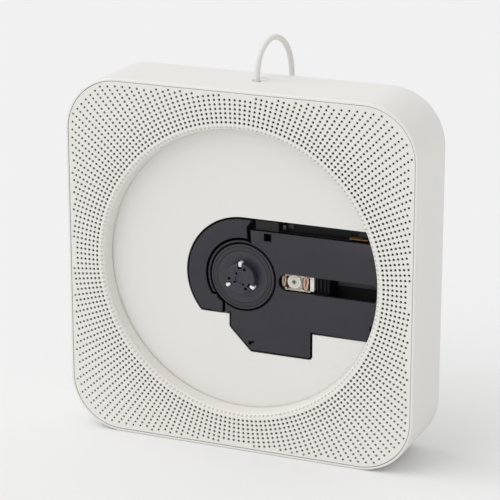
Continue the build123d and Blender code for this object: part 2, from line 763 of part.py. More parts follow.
with BuildPart() as board_connectors:
    with BuildSketch(face_at(board_front_y, board_centre_z)):
        with Locations((-12.0, 16.5), (4.0, 16.5), (18.0, 16.5)):
            Rectangle(10.0, 4.4)
        with Locations((55.5, -9.4)):
            Rectangle(11.0, 3.2)
    extrude(amount=3.4)
save(board_connectors, "board_connectors")

ribbon_z = hub_z + 23.6
with BuildPart() as pickup_ribbon:
    with BuildSketch(Plane.XY.offset(ribbon_z)):
        with Locations((55.5, -2.9)):
            Rectangle(8.8, 17.0)
    extrude(amount=0.3)
save(pickup_ribbon, "pickup_ribbon")

# ---- speakers, a left and a right one ----
speaker_z = mid_z + speaker_offset
with BuildPart() as speaker_frames:
    for side in (-1, 1):
        speaker_x = side * speaker_offset
        with BuildSketch(turned_plane(speaker_z, speaker_x)):
            with BuildLine():
                Polyline((14.6, -16.8), (speaker_radius, -16.8), (speaker_radius, -15.8), (15.8, -15.8),
                         (11.6, -8.2), (3.4, -8.2), (3.4, -9.2), (10.8, -9.2), (14.6, -16.0), close=True)
            make_face()
        revolve(axis=depth_axis(speaker_z, speaker_x))
    with BuildSketch(face_at(-15.8)):
        with Locations(*speaker_boss_points):
            Circle(2.6)
        for ear_x, ear_z in speaker_boss_points:
            side = 1 if ear_x > 0 else -1
            inward_x = ear_x - 0.14 * (ear_x - side * speaker_offset)
            inward_z = ear_z - 0.14 * (ear_z - speaker_offset)
            with Locations(Location((inward_x, inward_z, 0), (0, 0, -45 * side))):
                Rectangle(6.0, 4.0)
        with Locations((-speaker_offset, speaker_offset), (speaker_offset, speaker_offset)):
            Circle(14.6, mode=Mode.SUBTRACT)
        with Locations(*speaker_boss_points):
            Circle(1.3, mode=Mode.SUBTRACT)
    extrude(amount=1.0)
save(speaker_frames, "speaker_frames")

with BuildPart() as speaker_cones:
    for side in (-1, 1):
        with BuildSketch(turned_plane(speaker_z, side * speaker_offset)):
            with BuildLine():
                Polyline((0.0, -13.8), (3.0, -13.2), (4.2, -12.3), (12.2, -16.2), (13.0, -16.7),
                         (14.6, -16.3), (14.6, -16.0), (13.0, -16.3), (12.2, -15.8), (4.2, -11.9),
                         (3.0, -12.8), (0.0, -13.4), close=True)
            make_face()
        revolve(axis=depth_axis(speaker_z, side * speaker_offset))
save(speaker_cones, "speaker_cones")

with BuildPart() as speaker_magnets:
    with BuildSketch(face_at(-2.6, speaker_z)):
        with Locations((-speaker_offset, 0), (speaker_offset, 0)):
            Circle(10.5)
    extrude(amount=5.6)
    chamfer(speaker_magnets.edges().filter_by(GeomType.CIRCLE), 0.5)
save(speaker_magnets, "speaker_magnets")

speaker_screws = screws_at(speaker_boss_points, mid_z, -15.8, 2.9, 1.0, 2.1, 1.0)
save(speaker_screws, "speaker_screws")

# ---- case and well screws ----
case_screws = screws_at(case_screw_points, mid_z, back_y - head_recess_depth, 24.5, 1.4, 2.8, 1.8)
save(case_screws, "case_screws")
well_screws = screws_at(well_screw_points, mid_z, back_y - head_recess_depth, 18.0, 1.4, 2.8, 1.8)
save(well_screws, "well_screws")

# ---- keys and their board ----
key_travel = 0.6
for key_name, key_x in zip(button_names, button_xs):
    with BuildPart() as key:
        with BuildSketch(Plane.XY.offset(0.4)):
            with Locations((key_x, button_y)):
                SlotOverall(11.0, 4.6)
        extrude(amount=2.5)
        fillet(key.faces().sort_by(Axis.Z)[0].edges(), 0.4)
        with BuildSketch(Plane.XY.offset(wall + 0.1)):
            with Locations((key_x, button_y)):
                SlotOverall(13.4, 7.0)
        extrude(amount=0.9)
        with BuildSketch(Plane.XY.offset(wall + 0.5)):
            with Locations((key_x, button_y)):
                Circle(1.6)
        extrude(amount=3.1)
    save(key, f"button_{key_name}")

with BuildPart() as tact_switches:
    with BuildSketch(Plane.XY.offset(8.0)):
        with Locations(*[(x, button_y) for x in button_xs]):
            Rectangle(6.0, 6.0)
    extrude(amount=1.5)
    with BuildSketch(Plane.XY.offset(6.9)):
        with Locations(*[(x, button_y) for x in button_xs]):
            Circle(1.7)
    extrude(amount=1.2)
save(tact_switches, "tact_switches")

with BuildPart() as button_board:
    with BuildSketch(Plane.XY.offset(9.5)):
        with Locations((0, button_y)):
            Rectangle(92.0, 8.0)
    extrude(amount=1.6)
save(button_board, "button_board")

# ---- pull-cord switch ----
stem_radius = 1.8
switch_top = case_size - wall
cavity_top = switch_top - 3.3
cavity_low = cavity_top - 15.0
flange_low = cavity_low
with BuildPart() as switch_housing:
    with BuildSketch(Plane.XY.offset(cavity_low)):
        with Locations((cord_x, cord_y)):
            RectangleRounded(14.0, 13.0, 1.5)
    extrude(amount=switch_top - cavity_low)
    with BuildSketch(Plane.XY.offset(cavity_low)):
        with Locations((cord_x, cord_y)):
            Circle(3.8)
    extrude(amount=cavity_top - cavity_low, mode=Mode.SUBTRACT)
    with BuildSketch(Plane.XY.offset(cavity_low)):
        with Locations((cord_x, cord_y)):
            Circle(stem_radius + 0.07)
    extrude(amount=30.0, mode=Mode.SUBTRACT)
save(switch_housing, "switch_housing")

with BuildPart() as switch_base:
    with BuildSketch(Plane.XY.offset(cavity_low - 2.0)):
        with Locations((cord_x, cord_y)):
            RectangleRounded(14.0, 13.0, 1.5)
    extrude(amount=2.0)
    with BuildSketch(Plane.XY.offset(cavity_low - 5.0)):
        with Locations((cord_x - 3.0, cord_y), (cord_x + 3.0, cord_y)):
            Rectangle(0.6, 2.0)
    extrude(amount=3.5)
save(switch_base, "switch_base")

cord_exit_z = case_size - 0.8
with BuildPart() as pull_stem:
    with BuildSketch(Plane.XY.offset(flange_low)):
        with Locations((cord_x, cord_y)):
            Circle(3.74)
    extrude(amount=2.0)
    with BuildSketch(Plane.XY.offset(flange_low)):
        with Locations((cord_x, cord_y)):
            Circle(stem_radius)
    extrude(amount=cord_exit_z - flange_low)
save(pull_stem, "pull_stem")

spring_low = flange_low + 2.0
spring_wire = 0.28
spring_coil_radius = 2.9
spring_height = cavity_top - spring_low - 2 * spring_wire
with BuildPart() as pull_spring:
    with BuildLine() as spring_line:
        Helix(pitch=spring_height / 5, height=spring_height, radius=spring_coil_radius,
              center=(cord_x, cord_y, spring_low + spring_wire))
    with BuildSketch(Plane(origin=spring_line.line @ 0, z_dir=spring_line.line % 0)):
        Circle(spring_wire)
    sweep()
save(pull_spring, "pull_spring")

# ---- wall bracket ----
with BuildPart() as wall_bracket:
    with BuildSketch(face_at(wall_y, bracket_z)):
        RectangleRounded(112.0, 48.0, 7.0)
        with Locations((-25.0, 0), (25.0, 0)):
            Circle(2.1, mode=Mode.SUBTRACT)
    extrude(amount=1.2)
    with BuildSketch(face_at(wall_y - 1.2 + overlap, bracket_z)):
        with Locations((-49.0, 17.0), (49.0, 17.0), (-49.0, -17.0), (49.0, -17.0)):
            Circle(3.6)
    extrude(amount=overlap + 1.7)
    arm_low = hook_slot_z[1] - 1.6
    arm_length = wall_y - 1.2 + overlap - hook_y
    for hook_x in hook_xs:
        with BuildSketch(Plane.XY.offset(arm_low)):
            with Locations((hook_x, hook_y + arm_length / 2)):
                Rectangle(12.0, arm_length)
        extrude(amount=1.5)
        with BuildSketch(Plane.XY.offset(arm_low)):
            with Locations((hook_x, hook_y + 0.65)):
                Rectangle(12.0, 1.3)
        extrude(amount=7.5)
save(wall_bracket, "wall_bracket")

# ---- cord: loop over the top, drop behind the case, coil, tail and plug ----
cord_radius = cord_diameter / 2
coil_half = coil_columns * cord_diameter / 2
coil_height = coil_layers * cord_diameter
coil_x, coil_y = coil_centre
turn_inset = cord_radius + 0.05
outer_turn = coil_mean_radius + coil_half - turn_inset
top_layer_z = coil_lift + coil_height - turn_inset
tail_z = coil_lift + turn_inset
coil_entry_y = coil_y - outer_turn
cord_route = [
    (cord_x, cord_y, cord_exit_z),
    (cord_x, cord_y, 179.4),
    (2.0, 5.8, 187.4),
    (4.0, 13.2, 190.6),
    (6.2, 20.4, 187.4),
    (7.6, 25.2, 179.4),
    (7.8, 26.6, 167.0),
    (8.6, 26.0, 147.0),
    (8.0, 26.6, 110.0),
    (9.2, 27.3, 72.0),
    (9.0, 26.6, 44.0),
    (8.0, 27.0, 28.0),
    (3.5, 27.0, 16.5),
    (-5.5, coil_entry_y, top_layer_z),
    (coil_x + 13.5, coil_entry_y, top_layer_z),
]


def corner_radii(route):
    """Arc at each corner: 0.45 of the shorter run over the tangent of half the turn."""
    radii = []
    for before, here, after in zip(route, route[1:], route[2:]):
        run_in = Vector(*here) - Vector(*before)
        run_out = Vector(*after) - Vector(*here)
        shorter = min(run_in.length, run_out.length)
        radii.append(0.45 * shorter / tan(radians(run_in.get_angle(run_out)) / 2))
    return radii


def cord_tube(route, name):
    """Round tube along straight runs joined by tangent arcs."""
    radii = corner_radii(route)
    with BuildPart() as tube:
        with BuildLine() as path:
            FilletPolyline(*route, radius=radii)
        length = path.wire().length
        with BuildSketch(Plane(origin=path.wire() @ 0, z_dir=path.wire() % 0)):
            Circle(cord_radius)
        sweep(transition=Transition.ROUND)
    expected = pi * cord_radius ** 2 * length
    print(name, "length", round(length, 1), "volume ratio", round(tube.part.volume / expected, 4))
    print("  radii", [round(radius, 1) for radius in radii])
    save(tube, name)


cord_tube(cord_route, "power_cord")

with BuildPart() as cord_coil:
    with BuildSketch(Plane.XY.offset(coil_lift)):
        with Locations(coil_centre):
            Circle(coil_mean_radius + coil_half)
            Circle(coil_mean_radius - coil_half, mode=Mode.SUBTRACT)
    extrude(amount=coil_height)
    fillet(cord_coil.edges().filter_by(GeomType.CIRCLE), 1.0)
    # the first and last turns leave along straight ends
    with BuildSketch(Plane(origin=(coil_x, coil_entry_y, top_layer_z), x_dir=(0, 1, 0), z_dir=(1, 0, 0))):
        Circle(cord_radius)
    extrude(amount=13.5)
    with BuildSketch(Plane(origin=(coil_x, coil_y + outer_turn, tail_z), x_dir=(0, 1, 0), z_dir=(1, 0, 0))):
        Circle(cord_radius)
    extrude(amount=11.0)
save(cord_coil, "cord_coil")

tie_thickness = 0.75
tie_turn = 200.0
tie_sweep = 22.0
with BuildPart() as cord_tie:
    with BuildSketch(Plane(origin=(coil_x, coil_y, coil_lift + coil_height / 2),
                           x_dir=(cos(radians(tie_turn)), sin(radians(tie_turn)), 0),
                           z_dir=(sin(radians(tie_turn)), -cos(radians(tie_turn)), 0))):
        with Locations((coil_mean_radius, 0)):
            RectangleRounded(2 * coil_half + 2 * tie_thickness, coil_height + 2 * tie_thickness, 1.6)
            RectangleRounded(2 * coil_half, coil_height, 1.0, mode=Mode.SUBTRACT)
    revolve(axis=Axis((coil_x, coil_y, 0), (0, 0, 1)), revolution_arc=tie_sweep)
save(cord_tie, "cord_tie")

plug_axis_z = 4.4
plug_point = (15.0, 62.4)
tail_route = [
    (coil_x + 11.0, coil_y + outer_turn, tail_z),
    (coil_x + 19.0, coil_y + outer_turn, tail_z),
    (coil_x + 28.0, coil_y + outer_turn - 0.9, tail_z + 0.9),
    (coil_x + 37.0, plug_point[1], plug_axis_z),
    (plug_point[0], plug_point[1], plug_axis_z),
]
cord_tube(tail_route, "cord_tail")


def along_x(x, y, z):
    """Plane that looks along +X, for pieces of the plug."""
    return Plane(origin=(x, y, z), x_dir=(0, 1, 0), z_dir=(1, 0, 0))


with BuildPart() as plug_grip:
    with BuildSketch(Plane(origin=(plug_point[0], plug_point[1], plug_axis_z), x_dir=(1, 0, 0), z_dir=(0, -1, 0))):
        with BuildLine():
            Polyline((0, 0), (0, 1.9), (12.0, 2.9), (13.0, 4.0), (14.0, 4.4), (29.0, 4.4), (30.0, 4.0), (30.0, 0),
                     close=True)
        make_face()
    revolve(axis=Axis((plug_point[0], plug_point[1], plug_axis_z), (1, 0, 0)))
save(plug_grip, "plug_grip")

with BuildPart() as plug_barrel:
    with BuildSketch(along_x(plug_point[0] + 30.0, plug_point[1], plug_axis_z)):
        Circle(2.75)
        Circle(1.05, mode=Mode.SUBTRACT)
    extrude(amount=9.5)
save(plug_barrel, "plug_barrel")
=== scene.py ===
"""Wall mounted disc player: perforated front, open disc well with its mechanism, pull cord."""
import math
from functools import partial
from math import cos, pi, radians, sin, tau

import bmesh
import bpy
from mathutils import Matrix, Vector


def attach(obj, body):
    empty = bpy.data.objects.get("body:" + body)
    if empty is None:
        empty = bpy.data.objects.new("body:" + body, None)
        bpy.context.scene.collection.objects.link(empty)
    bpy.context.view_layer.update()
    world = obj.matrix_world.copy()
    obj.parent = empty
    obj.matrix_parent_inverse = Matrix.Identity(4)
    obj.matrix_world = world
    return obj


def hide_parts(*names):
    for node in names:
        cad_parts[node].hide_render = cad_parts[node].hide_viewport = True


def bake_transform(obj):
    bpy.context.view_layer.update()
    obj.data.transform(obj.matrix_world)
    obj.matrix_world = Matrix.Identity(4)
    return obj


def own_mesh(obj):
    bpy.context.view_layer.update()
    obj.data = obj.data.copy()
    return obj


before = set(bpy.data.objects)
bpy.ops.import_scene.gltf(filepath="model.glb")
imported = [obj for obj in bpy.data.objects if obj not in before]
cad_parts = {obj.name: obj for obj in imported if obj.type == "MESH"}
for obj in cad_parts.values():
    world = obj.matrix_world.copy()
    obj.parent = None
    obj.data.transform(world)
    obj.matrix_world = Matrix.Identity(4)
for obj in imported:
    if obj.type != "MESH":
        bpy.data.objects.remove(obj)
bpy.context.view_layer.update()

# ---- the player's sizes, in millimetres ----
MM = 0.001  # a millimetre, in metres
MICRON = 0.000001
CASE = 172.0
MID_Z = CASE / 2
CORNER = 26.0
RIM = 1.25  # the case's rim around the front plate
SEAM = 0.24
FRONT_Y = -20.5
LEDGE_Y = -18.3
SHEET = 0.9
EASE = 0.35  # rounding of the front plate's folded edge
FOLD = 1.3  # width of the folded edge behind the plate

# the front plate's opening and its perforations, on rings about the well's middle
OPENING_R = 69.7
PLATE_INNER_R = 69.95
LINES = 202
LINE_TURN = radians(90.6)
RINGS = 20
FIRST_RING_R = 71.03
LAST_RING_R = 104.0
RING_PITCH = 2.055
HOLE_R = 0.635
FIRST_RING_SCALE = 1.03
LAST_RING_SCALE = 0.87
EDGE_MARGIN = 1.45

# the rolled lip of the well, with pits on the same radial lines
LIP_R = 1.95
WELL_R = 66.6
SKIRT_R = 68.4
LIP_FOOT_Y = -13.46
PIT_RING_R = 68.72
PIT_R = 0.66
PIT_DEPTH = 0.85
PITS_END_Y = -18.0

# the mechanism, and the stem of the cord
HUB_Z = 82.8
HUB_FRONT_Y = -17.1
LENS_X = 24.6
PLATES_Y = -13.3
STEM_X, STEM_Y = 1.0, 0.8

# angles in degrees past which an edge is crisp
CREASE, TUBE_CREASE, NO_CREASE = 32.0, 50.0, 180.0


# ---- surface finishes: shared groups first, then one material for each real material ----
def wire(tree, kind, inputs=(), **settings):
    """Adds a node, sets its options and joins or fills its named or numbered inputs."""
    node = tree.nodes.new(kind)
    for name, value in settings.items():
        setattr(node, name, value)
    for name, value in dict(inputs).items():
        if isinstance(value, bpy.types.NodeSocket):
            tree.links.new(value, node.inputs[name])
        else:
            node.inputs[name].default_value = value
    return node


def made(tree, kind, inputs=(), **settings):
    """First output of a new node."""
    return wire(tree, kind, inputs, **settings).outputs[0]


def sum_up(tree, operation, *values):
    """One arithmetic step on sockets or numbers."""
    return made(tree, "ShaderNodeMath", dict(enumerate(values)), operation=operation)


def noise(tree, place, scale, detail, **more):
    """Soft noise from 0 to 1 over the place."""
    inputs = {"Vector": place, "Scale": scale, "Detail": detail, **more}
    return wire(tree, "ShaderNodeTexNoise", inputs).outputs["Fac"]


def ramped(tree, value, start, end):
    """Value carried from 0 at the start to 1 at the end."""
    return made(tree, "ShaderNodeMapRange", {0: value, 1: start, 2: end, 3: 0.0, 4: 1.0})


def shade(tree, color, level, out):
    """Sends the color, brighter or darker by the level, to the output."""
    tint = made(tree, "ShaderNodeCombineColor", {0: level, 1: level, 2: level})
    toned = wire(tree, "ShaderNodeMix", {0: 1.0, 6: color, 7: tint}, data_type="RGBA", blend_type="MULTIPLY")
    tree.links.new(toned.outputs[2], out)


def emboss(tree, pattern, height, out):
    """Sends the normals of a raised pattern to the output."""
    bump = wire(tree, "ShaderNodeBump", {"Strength": 1.0, "Distance": height, "Height": pattern})
    tree.links.new(bump.outputs[0], out)


def surface_group(name, inputs, outputs):
    """New group with its sockets, the sockets' ends inside it, and the place it colours."""
    tree = bpy.data.node_groups.new(name, "ShaderNodeTree")
    for label, kind, value in inputs:
        socket = tree.interface.new_socket(label, in_out="INPUT", socket_type="NodeSocket" + kind)
        socket.default_value = value
    for label, kind in outputs:
        tree.interface.new_socket(label, in_out="OUTPUT", socket_type="NodeSocket" + kind)
    place = wire(tree, "ShaderNodeTexCoord").outputs["Object"]
    return tree, wire(tree, "NodeGroupInput").outputs, wire(tree, "NodeGroupOutput").inputs, place


def build_moulded_skin():
    """Spark-eroded mould texture: slow drift of tone, fine pebbled height, a little gloss drift."""
    tree, given, out, place = surface_group(
        "moulded skin",
        [("Color", "Color", (0.8, 0.8, 0.8, 1)), ("Tone Drift", "Float", 0.02), ("Roughness", "Float", 0.5),
         ("Gloss Drift", "Float", 0.06), ("Pebble Scale", "Float", 4200.0),
         ("Pebble Height", "Float", 0.00001)],
        [("Color", "Color"), ("Roughness", "Float"), ("Normal", "Vector")])
    drift = sum_up(tree, "SUBTRACT", noise(tree, place, 28.0, 3.0), 0.5)
    shade(tree, given["Color"], sum_up(tree, "MULTIPLY_ADD", drift, given["Tone Drift"], 1.0), out["Color"])
    gloss = sum_up(tree, "SUBTRACT", noise(tree, place, 420.0, 2.0), 0.5)
    rough = sum_up(tree, "MULTIPLY_ADD", gloss, given["Gloss Drift"], given["Roughness"])
    tree.links.new(rough, out["Roughness"])
    pebbles = noise(tree, place, given["Pebble Scale"], 2.0, Roughness=0.6)
    emboss(tree, pebbles, given["Pebble Height"], out["Normal"])
    return tree


def build_fine_dust():
    """Pale specks and thin smears that gather on dark plastic."""
    tree, given, out, place = surface_group(
        "fine dust",
        [("Color", "Color", (0.05, 0.05, 0.05, 1)), ("Dust Color", "Color", (0.45, 0.44, 0.42, 1)),
         ("Specks", "Float", 0.5), ("Haze", "Float", 0.03)],
        [("Color", "Color"), ("Mask", "Float")])
    cells = wire(tree, "ShaderNodeTexVoronoi", {"Vector": place, "Scale": 650.0, "Randomness": 1.0})
    near = ramped(tree, cells.outputs["Distance"], 0.075, 0.02)
    some = ramped(tree, noise(tree, place, 310.0, 1.0), 0.60, 0.66)
    specks = sum_up(tree, "MULTIPLY", sum_up(tree, "MULTIPLY", near, some), given["Specks"])
    mask = sum_up(tree, "MULTIPLY_ADD", noise(tree, place, 60.0, 4.0), given["Haze"], specks)
    dusty = wire(tree, "ShaderNodeMix", {0: mask, 6: given["Color"], 7: given["Dust Color"]},
                 data_type="RGBA")
    tree.links.new(dusty.outputs[2], out["Color"])
    tree.links.new(mask, out["Mask"])
    return tree


def build_drawn_lines():
    """Long scratches left by rolling or turning, stretched along one direction."""
    tree, given, out, place = surface_group(
        "drawn lines",
        [("Color", "Color", (0.6, 0.6, 0.6, 1)), ("Roughness", "Float", 0.3),
         ("Stretch", "Vector", (60, 4000, 4000)), ("Line Height", "Float", 0.000004)],
        [("Color", "Color"), ("Roughness", "Float"), ("Normal", "Vector")])
    contrast = 0.25
    pulled = made(tree, "ShaderNodeVectorMath", {0: place, 1: given["Stretch"]}, operation="MULTIPLY")
    lines = noise(tree, pulled, 1.0, 3.0)
    centred = sum_up(tree, "SUBTRACT", lines, 0.5)
    shade(tree, given["Color"], sum_up(tree, "MULTIPLY_ADD", centred, contrast, 1.0), out["Color"])
    tree.links.new(sum_up(tree, "MULTIPLY_ADD", centred, contrast, given["Roughness"]), out["Roughness"])
    emboss(tree, lines, given["Line Height"], out["Normal"])
    return tree


def build_plain_weave():
    """Over-and-under weave of the speaker cloth in the X-Z plane."""
    tree, given, out, place = surface_group(
        "plain weave",
        [("Color", "Color", (0.03, 0.03, 0.03, 1)), ("Threads", "Float", 2600.0),
         ("Thread Height", "Float", 0.00006)],
        [("Color", "Color"), ("Normal", "Vector")])
    contrast = 0.35
    split = wire(tree, "ShaderNodeSeparateXYZ", {0: place}).outputs
    across, along = [sum_up(tree, "SINE", sum_up(tree, "MULTIPLY", split[axis], given["Threads"]))
                     for axis in ("X", "Z")]
    over = sum_up(tree, "MULTIPLY", across, along)
    shade(tree, given["Color"], sum_up(tree, "MULTIPLY_ADD", over, contrast, 1.0), out["Color"])
    emboss(tree, over, given["Thread Height"], out["Normal"])
    return tree


moulded_skin = build_moulded_skin()
fine_dust = build_fine_dust()
drawn_lines = build_drawn_lines()
plain_weave = build_plain_weave()


def blank_finish(name, **shader_values):
    """New material with its shader, whose inputs are named with _ for a space."""
    material = bpy.data.materials.new(name)
    material.use_nodes = True
    shader = material.node_tree.nodes["Principled BSDF"]
    for label, value in shader_values.items():
        shader.inputs[label.replace("_", " ")].default_value = value
    return material, material.node_tree, shader


def dress(tree, shader, group, values):
    """Places a surface group and joins what it puts out to the shader."""
    skin = wire(tree, "ShaderNodeGroup", values, node_tree=group).outputs
    for name, socket in (("Color", "Base Color"), ("Roughness", "Roughness"), ("Normal", "Normal")):
        if name in skin:
            tree.links.new(skin[name], shader.inputs[socket])


def plastic(name, color, roughness=0.5, drift=0.02, pebble=(4200, 10), dust=None, **shader_values):
    """Moulded plastic; pebble is (scale, height in microns), dust is (specks, haze) on dark pieces."""
    material, tree, shader = blank_finish(name, **shader_values)
    tone = (*color, 1)
    if dust:
        values = {"Color": tone, "Specks": dust[0], "Haze": dust[1]}
        tone = wire(tree, "ShaderNodeGroup", values, node_tree=fine_dust).outputs["Color"]
    dress(tree, shader, moulded_skin, {"Color": tone, "Tone Drift": drift, "Roughness": roughness,
                                       "Pebble Scale": pebble[0], "Pebble Height": pebble[1] * MICRON})
    return material


def metal(name, color, roughness=0.3, stretch=(900, 900, 900), height=3):
    """Rolled or turned metal, whose lines have their height in microns."""
    material, tree, shader = blank_finish(name, Metallic=1.0)
    dress(tree, shader, drawn_lines, {"Color": (*color, 1), "Roughness": roughness, "Stretch": stretch,
                                      "Line Height": height * MICRON})
    return material


def cloth(name, color):
    material, tree, shader = blank_finish(name, Roughness=0.95)
    dress(tree, shader, plain_weave, {"Color": (*color, 1)})
    return material


def painted_lens_glass(name, zones, reach=2.5):
    """Lens whose look from the front is painted by one ramp: a dark middle, then pale rings of painted
    reflection; zones are (radius, color) outwards from its axis, in millimetres.
    """
    material, tree, shader = blank_finish(name, Roughness=0.05, IOR=1.5, Coat_Weight=1.0, Coat_Roughness=0.02)
    value = wire(tree, "ShaderNodeTexCoord").outputs["Object"]
    for operation, other in (("SUBTRACT", (LENS_X * MM, 0, HUB_Z * MM)), ("MULTIPLY", (1, 0, 1))):
        value = made(tree, "ShaderNodeVectorMath", {0: value, 1: other}, operation=operation)
    radius = wire(tree, "ShaderNodeVectorMath", {0: value}, operation="LENGTH").outputs["Value"]
    ramp = wire(tree, "ShaderNodeValToRGB", {0: sum_up(tree, "MULTIPLY", radius, 1 / (reach * MM))})
    stops = ramp.color_ramp.elements
    while len(stops) < len(zones):
        stops.new(1.0)
    for stop, (edge, color) in zip(stops, zones):
        stop.position = edge / reach
        stop.color = (*color, 1)
    tree.links.new(ramp.outputs[0], shader.inputs["Base Color"])
    return material


case_white = plastic("case white", (0.800, 0.792, 0.765), 0.42, 0.015, (2600, 14))
front_white = plastic("front white", (0.812, 0.799, 0.752), 0.46, 0.015, (2600, 12))
well_white = plastic("well floor white", (0.800, 0.788, 0.758), 0.50, 0.02, (3000, 12))
cover_black = plastic("cover black", (0.0175, 0.0166, 0.0242), 0.46, 0.10, (5200, 22), (0.25, 0.01))
turntable_black = plastic("turntable black", (0.0282, 0.0267, 0.0385), 0.36, 0.08, (5200, 12),
                          (0.2, 0.01))
inner_grey = plastic("chassis black", (0.0100, 0.0100, 0.0108), 0.60, 0.10, (3600, 20), (0.1, 0.004),
                     Specular_IOR_Level=0.35)
rail_grey = plastic("slot rail grey", (0.150, 0.148, 0.165), 0.50, 0.05, (3000, 10))
# painted shade: dark grey toned for the shade deep in the slot
slot_shade_grey = plastic("slot shade sheet", (0.050, 0.050, 0.056), 0.60, 0.05, (3000, 10))
sled_grey = plastic("sled black", (0.0060, 0.0060, 0.0068), 0.55, 0.08, (3000, 10),
                    Specular_IOR_Level=0.2)
# painted shade: near-black, for the shadowed gaps round the black plates and at the bottoms of the hub's
# holes
shade_black = plastic("painted shade black", (0.0030, 0.0030, 0.0033), 0.90, 0.10, (5200, 40),
                     Specular_IOR_Level=0.1)
claw_white = plastic("claw white", (0.86, 0.86, 0.85), 0.28, 0.01, (2000, 3))
gear_white = plastic("gear white", (0.80, 0.79, 0.75), 0.38, 0.02, (2600, 5))
holder_cream = plastic("lens holder cream", (0.86, 0.75, 0.63), 0.40, 0.10, (2600, 6))
bezel_pale = plastic("lens bezel", (0.82, 0.79, 0.70), 0.25, 0.04, (2600, 3))
rubber_black = plastic("mat rubber", (0.020, 0.020, 0.021), 0.75, 0.10, (2600, 30), (0.6, 0.05))
board_green = plastic("board green", (0.045, 0.19, 0.09), 0.34, 0.12, (1500, 10))
chip_black = plastic("chip black", (0.022, 0.022, 0.023), 0.48, 0.05, (5200, 10))
connector_ivory = plastic("connector ivory", (0.74, 0.70, 0.60), 0.40)
cone_paper = plastic("cone paper", (0.05, 0.05, 0.05), 0.85, 0.15, (1800, 50))
ribbon_amber = plastic("ribbon amber", (0.22, 0.125, 0.035), 0.30, 0.06, (900, 8), Coat_Weight=0.3)
cord_white = plastic("cord sheath", (0.760, 0.750, 0.715), 0.52, 0.02, (2600, 10))
plug_white = plastic("plug grip", (0.740, 0.730, 0.695), 0.46, 0.02, (3000, 16))
tie_black = plastic("tie black", (0.025, 0.025, 0.026), 0.50, 0.08, (3600, 10))
bracket_paint = plastic("bracket paint", (0.62, 0.62, 0.60), 0.40, 0.02, (1500, 30))
speaker_cloth = cloth("speaker cloth", (0.032, 0.023, 0.016))
rod_steel = metal("rod steel", (0.62, 0.62, 0.63), 0.20, (60, 3000, 3000), 1)
wire_bronze = metal("spring wire", (0.86, 0.76, 0.64), 0.42, (60, 900, 900), 1)
can_metal = metal("motor can", (0.52, 0.52, 0.54), 0.30, (900, 90, 900))
dull_steel = metal("clip steel", (0.10, 0.10, 0.105), 0.45)
screw_steel = metal("screw steel", (0.55, 0.55, 0.56), 0.28)
magnet_grey = metal("magnet plating", (0.26, 0.26, 0.28), 0.35)
coil_copper = metal("copper wire", (0.86, 0.60, 0.46), 0.34)
yoke_dark = metal("yoke steel", (0.045, 0.045, 0.048), 0.45)
# the ramp paints the lens's look: a dark middle, then pale rings of painted reflection out to its rim
lens_painted_look = painted_lens_glass("lens", [
    (0.0, (0.022, 0.024, 0.018)), (0.50, (0.030, 0.032, 0.024)), (0.90, (0.30, 0.305, 0.26)),
    (1.30, (0.60, 0.61, 0.54)), (1.95, (0.76, 0.76, 0.69)), (2.12, (0.46, 0.46, 0.40))])

KEYS = ("skip_back", "skip_forward", "play", "volume_down", "volume_up")
node_finishes = {
    case_white: ["rear_case", *("button_" + key for key in KEYS)],
    front_white: ["front_grille"],
    well_white: ["disc_well"],
    speaker_cloth: ["grille_cloth"],
    cover_black: ["mech_surround", "mech_cover"],
    turntable_black: ["turntable", "disc_hub"],
    inner_grey: ["traverse_chassis", "speaker_frames", "switch_housing", "switch_base"],
    sled_grey: ["pickup_base"],
    rubber_black: ["turntable_mat", "damper_bushes"],
    claw_white: ["hub_claw_1", "hub_claw_2", "hub_claw_3", "suspension_block", "pull_stem"],
    gear_white: ["feed_gear", "feed_pinion", "pickup_rack"],
    holder_cream: ["lens_holder"],
    lens_painted_look: ["objective_lens"],
    ribbon_amber: ["pickup_ribbon"],
    board_green: ["main_board", "button_board"],
    chip_black: ["board_chips", "tact_switches"],
    connector_ivory: ["board_connectors"],
    cone_paper: ["speaker_cones"],
    rod_steel: ["guide_rod_main", "guide_rod_sub", "spindle_shaft", "pull_spring"],
    yoke_dark: ["actuator_yoke", "actuator_magnets"],
    dull_steel: ["rod_clips"],
    screw_steel: ["case_screws", "well_screws", "damper_screws", "board_screws", "speaker_screws",
                  "plug_barrel"],
    can_metal: ["spindle_motor", "feed_motor", "capacitors"],
    magnet_grey: ["speaker_magnets"],
    bracket_paint: ["wall_bracket"],
    cord_white: ["power_cord", "cord_coil", "cord_tail"],
    plug_white: ["plug_grip"],
    tie_black: ["cord_tie"],
}
for finish, node_names in node_finishes.items():
    for node_name in node_names:
        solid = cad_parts[node_name]
        solid.data.materials.clear()
        solid.data.materials.append(finish)


# ---- mesh helpers ----
def new_object(name, data):
    linked = bpy.data.objects.new(name, data)
    bpy.context.scene.collection.objects.link(linked)
    return linked


def as_piece(name, mesh, finish):
    piece = new_object(name, mesh)
    mesh.materials.clear()
    mesh.materials.append(finish)
    return piece


def mesh_from(form, name):
    mesh = bpy.data.meshes.new(name)
    form.to_mesh(mesh)
    form.free()
    return mesh


def outward_mesh(form, name, crease):
    """Mesh of a form built here: faces outwards, smooth, crisp where they meet at more than the crease."""
    bmesh.ops.recalc_face_normals(form, faces=form.faces)
    for face in form.faces:
        face.smooth = True
    for edge in form.edges:
        edge.smooth = len(edge.link_faces) == 2 and edge.calc_face_angle(pi) < radians(crease)
    return mesh_from(form, name)


def points_at(form, places):
    """Points of the form at places given in millimetres."""
    return [form.verts.new((x * MM, y * MM, z * MM)) for x, y, z in places]


def band(form, low, high):
    """Faces between two closed loops of points; a loop of one point is a tip."""
    count = max(len(low), len(high))
    for k in range(count):
        after = (k + 1) % count
        corners = [low[k % len(low)], low[after % len(low)], high[after % len(high)], high[k % len(high)]]
        corners = list(dict.fromkeys(corners))
        if len(corners) > 2:
            form.faces.new(corners)


